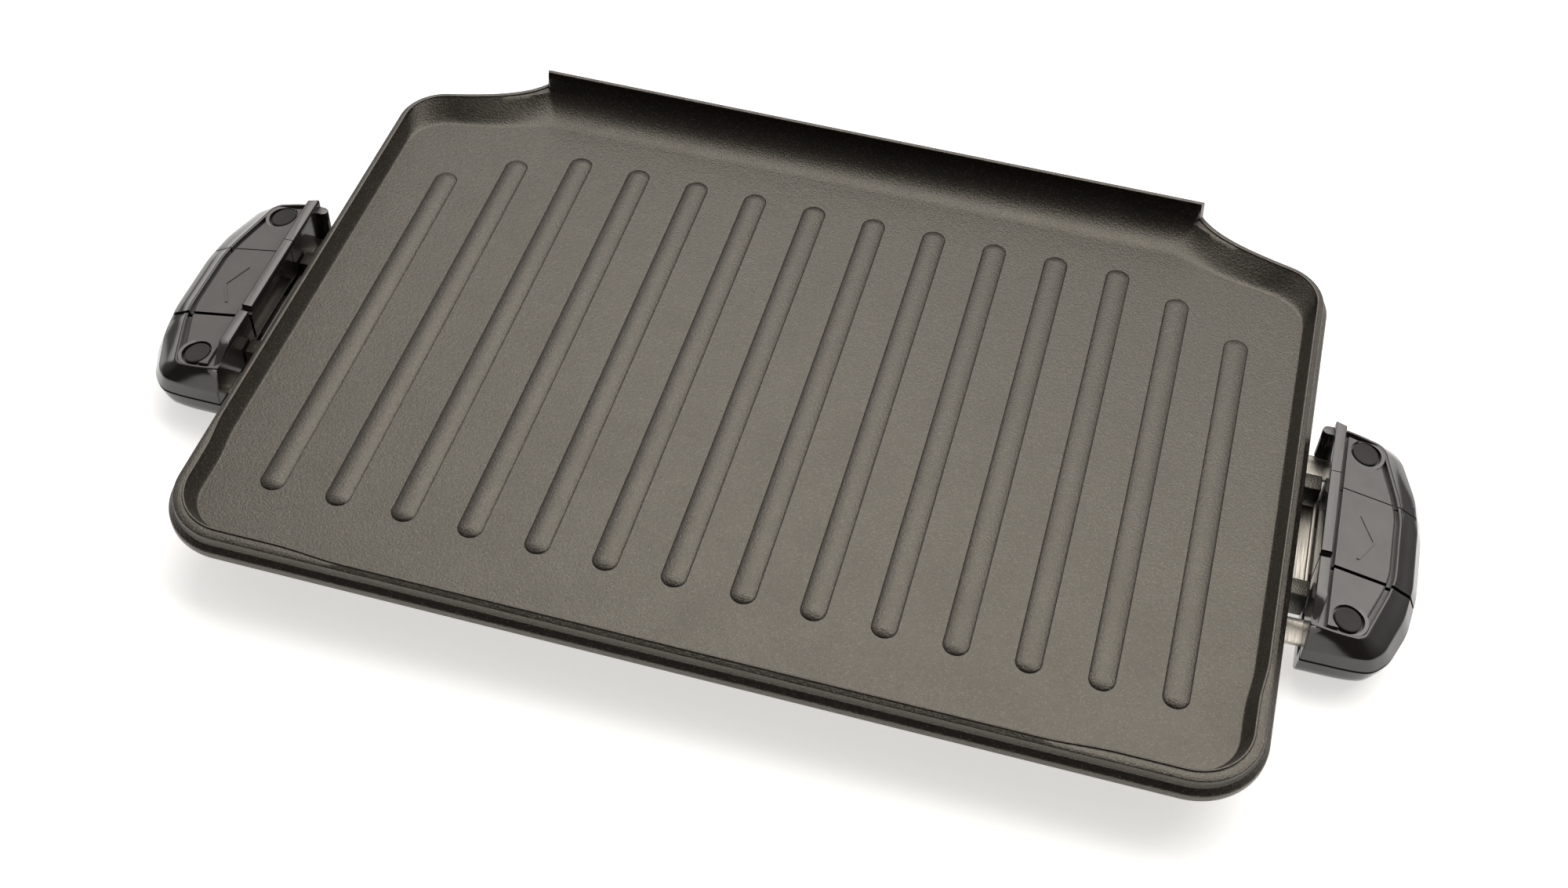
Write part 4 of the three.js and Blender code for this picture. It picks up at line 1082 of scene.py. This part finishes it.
# the same form a wall thinner, for the hollow inside
def makeInsideForm(bottom):
    wall = grip["wall"]
    return ringLoft("insideForm", [
        gripRing(gripWidth - wall, gripHalf - wall, wall, plain(bottom)),
        gripRing(grip["shoulderReach"] - wall, gripHalf - 0.5 - wall, wall,
                 plain(surface - grip["shoulderDrop"] - wall / 2)),
        gripRing(grip["faceReach"] - wall - 1, grip["faceHalf"] - wall - 1, wall, belowFace(wall + 1.2), 0.9),
    ])


# rail along the inner side, falling and narrowing into the front border
def makeRail():
    full = surface + grip["railHeight"]
    end = grip["faceHalf"]
    rings = []
    stations = [-end - 0.9 + k * 0.75 for k in range(22)] + [-end + 20, 0, end - 0.5, end - 0.12, end]
    for across in stations:
        fall = smoothStep((-end + grip["railFall"] - across) / (grip["railFall"] + 0.9))
        top = lerp(full, faceHeight(inner) - 0.6, fall)
        width = lerp(grip["railWidth"], grip["railTip"], fall)
        if across > end - 0.4:
            top -= (across - end + 0.4) * 1.2
        low = surface - 2
        soft = 0.55
        start = 0.03
        section = [(start, low), (width, low), (width, top - soft), (width - soft * 0.3, top - soft * 0.3),
                   (width - soft, top), (soft, top), (start + soft * 0.3, top - soft * 0.3),
                   (start, top - soft)]
        # the rear end is cut at a slant
        slant = grip["railSlant"] * smoothStep((across - end + 8) / 8)
        rings.append([((inner + x) * mm, (middle + across - slant * x) * mm, z * mm) for x, z in section])
    return ringLoft("rail", rings)


# rounded stop towards the plate at the rear end
def makeEar():
    half = grip["earHalf"]
    across = gripHalf - grip["earEnd"]
    roundX = half - grip["earReach"]
    top = surface + grip["earRise"]
    rings = []
    for height, inset in ((upperBottom + 0.3, 0.2), (upperBottom + 0.5, 0), (top - 0.5, 0),
                          (top - 0.12, 0.14), (top, 0.55)):
        turns = [math.radians(90 + 180 * k / 12) for k in range(13)]
        loop = [(roundX + (half - inset) * math.cos(a), across + (half - inset) * math.sin(a)) for a in turns]
        loop += [(1.2, across - half + inset), (1.2, across + half - inset)]
        rings.append([((inner + x) * mm, (middle + v) * mm, height * mm) for x, v in loop])
    return ringLoft("ear", rings)


def makeCapSeat(across, radius, height, sink):
    turn = Matrix.Rotation(math.atan(grip["faceSlope"]), 4, "Y")
    place = Matrix.Translation((screwX * mm, (middle + across) * mm, faceHeight(screwX) * mm))
    return placedLathe([(radius, -sink), (radius, height - sink)], 56, place @ turn)


def makeOutside():
    outside = newObject("outside", makeUpperForm())
    return addOn(outside, makeRail())


def makeGripTop():
    top = addOn(makeOutside(), makeEar())
    hollow = newObject("hollow", makeInsideForm(upperBottom - 1))
    wall = bayHalf + grip["wall"]
    cutAway(hollow, gripBlock((-3, -wall, 0), (gripWidth - 5, wall, highUp)))
    cutAway(top, freed(hollow))
    bay = bayHalf + grip["bayMargin"]
    opening = grip["openingHalf"]
    cutAway(
        top,
        gripBlock((-1, -bayHalf, slideLow - grip["play"]), (farOut, bayHalf, highUp)),
        gripBlock((gripWidth - grip["skirt"], -bayHalf, 0), (farOut, bayHalf, surface)),
        gripBlock((-1, -bay, 0), (grip["latchReach"], bay, slideLow - 0.4)),
        gripBlock((-1, -opening, 0), (grip["latchReach"], opening, surface)),
        gripBlock((-1, 0, faceHeight(inner) + 0.12),
                  (grip["railWidth"] + 0.2, bayHalf + grip["railOverhang"], highUp)),
    )
    reach = grip["screwReach"]
    for end in bothEnds:
        across = end * screwSpread
        addOn(top, gripPost(reach, across, strapTop + grip["play"], faceHeight(screwX) - 1,
                            grip["bossRadius"], grip["bossTopRadius"]))
        cutAway(
            top,
            gripPost(reach, across, surface - grip["headSeatDrop"], surface + 12, grip["headRadius"]),
            gripPost(reach, across, 0, surface, grip["boreRadius"]),
            makeCapSeat(across, grip["seatRadius"], grip["seatDepth"] + 6, grip["seatDepth"]),
        )
    return top


arrow = {  # millimetres
    "start": 13.5, "half": 10, "reach": 5.5, "line": 0.75, "lift": 0.3, "back": 1.5, "root": 0.8,
}


# thin raised arrow head on the slide's panel, pointing outwards
def makeArrow():
    start, half, line = arrow["start"], arrow["half"], arrow["line"]
    tip = start + arrow["reach"]
    outline = [(start, -half), (start + line * 1.6, -half), (tip + line * 1.1, -line * 0.2),
               (tip + line * 1.1, line * 0.2), (start + line * 1.6, half), (start, half),
               (tip, line * 0.1), (tip, -line * 0.1)]
    along = middle - arrow["back"]
    rings = []
    for drop in (arrow["root"], 0.25 - arrow["lift"]):
        rings.append([((inner + x) * mm, (along + y) * mm, (faceHeight(inner + x) - drop) * mm)
                      for x, y in outline])
    return ringLoft("arrow", rings)


def makeReleaseSlide():
    front = -bayHalf + grip["frontGap"]
    rear = bayHalf - grip["rearGap"]
    play = grip["play"]
    railStart = faceHeight(inner)
    span = newObject("span", gripBlock((-1, front, slideLow), (farOut, rear, highUp)))
    addOn(
        span,
        gripBlock((gripWidth - grip["skirt"] + play, front, upperBottom), (farOut, rear, slideLow + 1)),
        gripBlock((-1, rear - 1, railStart + play),
                  (grip["railWidth"], bayHalf + grip["railOverhang"] - 0.35, highUp)),
    )
    slide = combine(makeOutside(), freed(span), "INTERSECT")
    inside = newObject("inside", makeInsideForm(upperBottom - 1))
    wall = grip["wall"]
    combine(inside, gripBlock((0, front + wall, 0), (farOut, rear - wall, highUp)), "INTERSECT")
    notch = gripBlock((-1, front - 1, railStart + 0.02),
                      (grip["railWidth"] + 0.15, front + grip["railNotch"], highUp))
    cutAway(slide, freed(inside), notch)
    reach = grip["legReach"]
    legBottom = latchTop - grip["legDrop"] + play
    addOn(slide, gripPost(reach, 0, legBottom, faceHeight(inner + reach) - 1, grip["legRadius"]))
    cutAway(slide, gripPost(reach, 0, 0, surface - 2, grip["legBore"]))
    slide.data = joinMeshes("slide", [slide.data, makeArrow()])
    return slide


def makeGripBase():
    bottom = bottomZ / mm
    top = seamZ - grip["seamGap"]
    levels = [(6.6, 5.6, 0.4, bottom), (5.8, 4.9, 0, bottom + 0.25), (4.3, 3.6, 0, bottom + 1.3),
              (2.9, 2.4, 0, bottom + 2.9), (1.7, 1.35, 0, bottom + 4.8), (0.85, 0.65, 0, bottom + 7.6),
              (0, 0, 0, top - 0.4), (0.3, 0.3, 0.3, top)]
    rings = [gripRing(gripWidth - r, gripHalf - h, start, plain(z)) for r, h, start, z in levels]
    base = newObject("gripBase", ringLoft("gripBase", rings))
    wall = grip["wall"]
    hollow = ringLoft("hollow", [
        gripRing(gripWidth - 6 - wall, gripHalf - 5 - wall, wall, plain(bottom + wall)),
        gripRing(gripWidth - 1.6 - wall, gripHalf - 1.2 - wall, wall, plain(bottom + 4.5)),
        gripRing(gripWidth - wall, gripHalf - wall, wall, plain(top + 1)),
    ])
    cutAway(base, hollow, gripBlock((-1, 5 - gripHalf, bottom + 6.5), (wall + 1, gripHalf - 5, top + 1)))
    reach = grip["screwReach"]
    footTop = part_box("foot_front_right")[1].z / mm + grip["play"]
    for end in bothEnds:
        across = end * screwSpread
        footAcross = end * (gripHalf - grip["footEnd"])
        bossTop = strapTop - grip["strapDrop"]
        addOn(base, gripPost(reach, across, bottom + 1, bossTop, grip["baseBossRadius"]))
        cutAway(base, gripPost(reach, across, bottom + grip["baseSeat"], surface, grip["boreRadius"]),
                gripPost(gripWidth / 2, footAcross, 0, footTop, grip["footRadius"]))
    # what the spring pushes against
    stop = gripWidth - grip["stopBack"]
    half = grip["stopHalf"]
    stopTop = latchTop - grip["stopDrop"] - grip["play"]
    return addOn(base, gripBlock((stop, -half, bottom + 1), (stop + grip["stopWidth"], half, stopTop)))


# both sides of a piece that is the same on the left and the right
def finishPair(name, obj, bodies, slot, nodeName, angle=30):
    smoothByAngle(obj, angle)
    lean = math.atan(grip["faceSlope"])
    flatPlane(obj, math.sin(lean), math.cos(lean))
    mirrored = newObject(name + "Left", mirrorMesh(obj.data, name + "Left"))
    obj.name = obj.data.name = name + "Right"
    for piece, side in ((mirrored, "left"), (obj, "right")):
        finishPiece(piece, bodies.format(side=side), slot, [f"{nodeName}_{side}"])


finishPair("gripTop", makeGripTop(), "griddle", "grip_plastic", "grip_top")
finishPair("gripBase", makeGripBase(), "griddle", "grip_plastic", "grip_base")
finishPair("releaseSlide", makeReleaseSlide(), "release_{side}", "grip_plastic", "release_slide")
print("grips made")


# copies of one shape at given places, each leaning outwards by Tilt
def makeCopiesTree():
    tree, start, end = geometryTree("placedCopies", {
        "Shape": "NodeSocketObject", "Tilt": 0.0, "Material": "NodeSocketMaterial",
    })
    shape = newNode(tree, "GeometryNodeObjectInfo", {"Object": start["Shape"]})
    place = newNode(tree, "GeometryNodeInputPosition").outputs[0]
    side = mathNode(tree, "SIGN", splitNode(tree, place)["X"])
    turn = newNode(tree, "ShaderNodeCombineXYZ", {"Y": mathNode(tree, "MULTIPLY", side, start["Tilt"])})
    spread = newNode(tree, "GeometryNodeInstanceOnPoints", {
        "Points": start["Geometry"], "Instance": shape.outputs["Geometry"], "Rotation": turn.outputs[0],
    })
    real = newNode(tree, "GeometryNodeRealizeInstances", {0: spread.outputs[0]})
    return paintedOut(tree, real.outputs[0], start, end)


copiesTree = makeCopiesTree()


def makeCopies(name, shape, places, slot, replaced, tilt=0.0, angle=32):
    shapeObject = newObject("copiedShape", shape)
    mesh = runTree(copiesTree, meshFrom("places", places, []),
                   {"Shape": shapeObject, "Tilt": tilt, "Material": finishes[slot]})
    bpy.data.objects.remove(shapeObject)
    obj = newObject(name, mesh)
    mesh.name = name
    smoothByAngle(obj, angle)
    return finishPiece(obj, "griddle", slot, replaced)


corners = [(end, side) for end in ("front", "rear") for side in ("left", "right")]


def centreOf(node):
    low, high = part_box(node)
    return (low + high) / 2


# plugs over the grip screws: flat discs with a soft rim
def makeCaps():
    radius = grip["capRadius"]
    profile = [(0.02, -1.8), (radius - 0.4, -1.8), (radius, -1.5), (radius, -0.42), (radius - 0.08, -0.2),
               (radius - 0.35, -0.04), (radius - 0.7, 0.0), (radius - 1.0, -0.06), (1.2, -0.1), (0.02, -0.1)]
    places = []
    for end, side in corners:
        places.append((sideSign[side] * screwX * mm, (middle + endSign[end] * screwSpread) * mm,
                       (faceHeight(screwX) - 0.3) * mm))
    names = [f"screw_cap_{end}_{side}" for end, side in corners]
    tilt = math.atan(grip["faceSlope"])
    return makeCopies("screwCaps", turnedMesh(profile, 56), places, "cap_rubber", names, tilt)


def makeFeet():
    low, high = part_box("foot_front_right")
    top = (high.z - low.z) / mm
    radius = (high.x - low.x) / 2 / mm
    profile = [(0.02, 0.35), (1.6, 0.35), (1.9, 0.0), (3.0, 0.0), (3.3, 0.35), (3.9, 0.35), (4.2, 0.0),
               (radius - 1.2, 0.0), (radius - 0.85, 0.15), (radius - 0.72, 0.5), (radius, top - 0.3),
               (radius - 0.25, top), (0.02, top)]
    names = [f"foot_{end}_{side}" for end, side in corners]
    places = [(centreOf(name).x, centreOf(name).y, low.z) for name in names]
    return makeCopies("rubberFeet", turnedMesh(profile), places, "foot_rubber", names)


# a screw with a domed cross-head and a threaded shank, its head down
def screwShape(node):
    low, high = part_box(node)
    length = (high.z - low.z) / mm
    head = (high.x - low.x) / 2 / mm
    headHeight = head * 0.55
    shank = 1.7
    pitch = 0.9
    profile = [(0.02, 0.0), (head * 0.55, 0.06), (head * 0.8, headHeight * 0.28), (head, headHeight * 0.8),
               (head, headHeight), (shank, headHeight)]
    level = headHeight + 0.5
    while level < length - 1:
        profile += [(shank, level), (shank - 0.3, level + pitch / 2)]
        level += pitch
    profile += [(shank - 0.3, length - 0.5), (shank * 0.45, length), (0.02, length)]
    screw = newObject("screw", turnedMesh(profile, 32))
    wide, narrow, deep = head * 0.52 * mm, head * 0.11 * mm, headHeight * 0.75 * mm
    cutAway(screw, boxMesh("cross", (-wide, -narrow, -mm), (wide, narrow, deep)),
            boxMesh("cross", (-narrow, -wide, -mm), (narrow, wide, deep)))
    return freed(screw)


def makeScrews(name, names):
    places = [(centreOf(node).x, centreOf(node).y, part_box(node)[0].z) for node in names]
    return makeCopies(name, screwShape(names[0]), places, "zinc", names)


supports = ("left", "right", "inner_left", "inner_right")
makeCaps()
makeFeet()
makeScrews("panScrews", [f"pan_screw_{end}_{side}" for end, side in corners])
makeScrews("supportScrews", [f"support_screw_{place}" for place in supports])
print("caps, feet and screws made")


# sheet metal and mouldings: a CAD node's form with its edges softened
def softForm(name, node, body, slot, width):
    def simplify(bm):
        bmesh.ops.remove_doubles(bm, verts=bm.verts, dist=2e-6)
        bmesh.ops.dissolve_limit(bm, angle_limit=math.radians(0.5), verts=bm.verts, edges=bm.edges)

    mesh = edited(nodes[node].data.copy(), simplify)
    obj = newObject(name, mesh)
    mesh.name = name
    softEdges(obj, width * mm, 2, 30)
    smoothByAngle(obj)
    return finishPiece(obj, body, slot, [node])


for end in ("front", "rear"):
    softForm(f"crossStrap{end.title()}", f"strap_{end}", "griddle", "stainless", 0.45)
for side in ("left", "right"):
    softForm(f"latchPlate{side.title()}", f"latch_plate_{side}", f"release_{side}", "stainless", 0.3)
for place in supports:
    pieceName = "elementSupport" + place.title().replace("_", "")
    softForm(pieceName, f"element_support_{place}", "griddle", "stainless", 0.25)
softForm("reflectorPan", "reflector_pan", "griddle", "pan_steel", 0.35)
softForm("inletShroud", "inlet_shroud", "griddle", "phenolic", 0.5)
softForm("inletBlock", "inlet_block", "griddle", "steatite", 0.4)
print("sheet metal and mouldings made")

spring = {  # millimetres and counts
    "wire": 0.65, "turns": 6.5, "closedTurns": 1.0, "stepsPerTurn": 24, "wireSides": 10, "pulled": 5.0,
}


# coil spring along X: its first and last turns lie close, and the rest are spread evenly
def springMesh(node):
    low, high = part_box(node)
    wire = spring["wire"]
    length = (high.x - low.x) / mm - wire
    radius = (high.y - low.y) / 2 / mm - wire / 2
    turns = spring["turns"]
    closed = spring["closedTurns"]
    openPitch = (length - 2 * closed * wire) / (turns - 2 * closed)
    middlePoint = (low + high) / 2
    count = round(turns * spring["stepsPerTurn"])
    rings = []
    for step in range(count + 1):
        turn = turns * step / count
        along = wire * min(turn, closed)
        along += openPitch * min(max(turn - closed, 0), turns - 2 * closed)
        along += wire * max(turn - turns + closed, 0)
        angle = 2 * math.pi * turn
        out = Vector((0, math.cos(angle), math.sin(angle)))
        ring = []
        for side in range(spring["wireSides"]):
            wireTurn = 2 * math.pi * side / spring["wireSides"]
            point = out * (radius + wire / 2 * math.cos(wireTurn))
            point.x = along - length / 2 + wire / 2 * math.sin(wireTurn)
            ring.append(middlePoint + point * mm)
        rings.append(ring)
    return ringLoft("spring", rings)


# a coil spring in place of each CAD spring, on the griddle's body
def makeSprings():
    for side in ("left", "right"):
        node = f"slide_spring_{side}"
        obj = newObject(f"slideSpring{side.title()}", springMesh(node))
        smoothByAngle(obj, 60)
        finishPiece(obj, "griddle", "zinc", [node])
        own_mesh(obj)


makeSprings()
print("springs made")

# pieces that keep their CAD form and get a finish
slotOf = {part["node"]: part["material_slot"] for part in frame["record"]["subparts"]}
for nodeName, node in nodes.items():
    node.data.materials.clear()
    node.data.materials.append(finishes[slotOf[nodeName]])

# metres and degrees, and the lens and its film width in millimetres
view = {
    "place": (0.1168, -0.4842, 0.5825), "yaw": 13.41, "pitch": 49.98, "roll": 2.52, "lens": 44.84, "film": 36,
}
softbox = {  # metres and watts
    "place": (0.25, 0.7, 1.42), "target": (0.05, 0, 0), "width": 2.6, "depth": 1.0, "power": 24,
    "color": (1, 0.985, 0.955),
}


def makeCamera():
    data = bpy.data.cameras.new("viewCamera")
    data.lens = view["lens"]
    data.sensor_width = view["film"]
    camera = newObject("viewCamera", data)
    yaw, pitch, roll = (math.radians(view[key]) for key in ("yaw", "pitch", "roll"))
    back = Vector((math.sin(yaw) * math.cos(pitch), -math.cos(yaw) * math.cos(pitch), math.sin(pitch)))
    right = Vector((math.cos(yaw), math.sin(yaw), 0))
    up = back.cross(right)
    rolledRight = math.cos(roll) * right + math.sin(roll) * up
    rolledUp = math.cos(roll) * up - math.sin(roll) * right
    turn = Matrix((rolledRight, rolledUp, back)).transposed().to_4x4()
    camera.matrix_world = Matrix.Translation(view["place"]) @ turn
    bpy.context.scene.camera = camera


def makeSoftbox():
    data = bpy.data.lights.new("overheadSoftbox", "AREA")
    data.shape = "RECTANGLE"
    data.size = softbox["width"]
    data.size_y = softbox["depth"]
    data.energy = softbox["power"]
    data.color = softbox["color"]
    lamp = newObject("overheadSoftbox", data)
    direction = Vector(softbox["target"]) - Vector(softbox["place"])
    turn = direction.to_track_quat("-Z", "Y").to_matrix().to_4x4()
    lamp.matrix_world = Matrix.Translation(softbox["place"]) @ turn


def makeStudio():
    bpy.ops.mesh.primitive_plane_add(size=6, location=(0, 0, 0))
    floor = bpy.context.object
    floor.name = "studioFloor"
    paper = Finish("whitePaper", 0.9, specular=0.1)
    grain = paper.effect(grainGroup, Scale=300.0, Unevenness=0.3)
    paper.paint(paper.mix(grain["Tone"], (0.92, 0.92, 0.915), (0.94, 0.94, 0.935)))
    paper.shader.inputs["Emission Color"].default_value = (1, 0.985, 0.96, 1)
    paper.shader.inputs["Emission Strength"].default_value = 0.6
    floor.data.materials.append(paper.material)
    world = bpy.data.worlds.new("studio")
    world.use_nodes = True
    tree = world.node_tree
    sky = splitNode(tree, tree.nodes.new("ShaderNodeTexCoord").outputs["Generated"])
    # dim behind the camera and near the horizon, bright high up behind the griddle
    rear = rangeNode(tree, sky["Y"], -0.45, 0.75, 0.08, 0.85)
    high = rangeNode(tree, sky["Z"], 0.05, 0.5, 0.35, 1.0)
    link(tree, mathNode(tree, "MULTIPLY", rear, high), tree.nodes["Background"].inputs["Strength"])
    tree.nodes["Background"].inputs["Color"].default_value = (1, 0.99, 0.98, 1)
    bpy.context.scene.world = world
    bpy.context.scene.view_settings.view_transform = "Standard"


makeCamera()
makeStudio()
makeSoftbox()
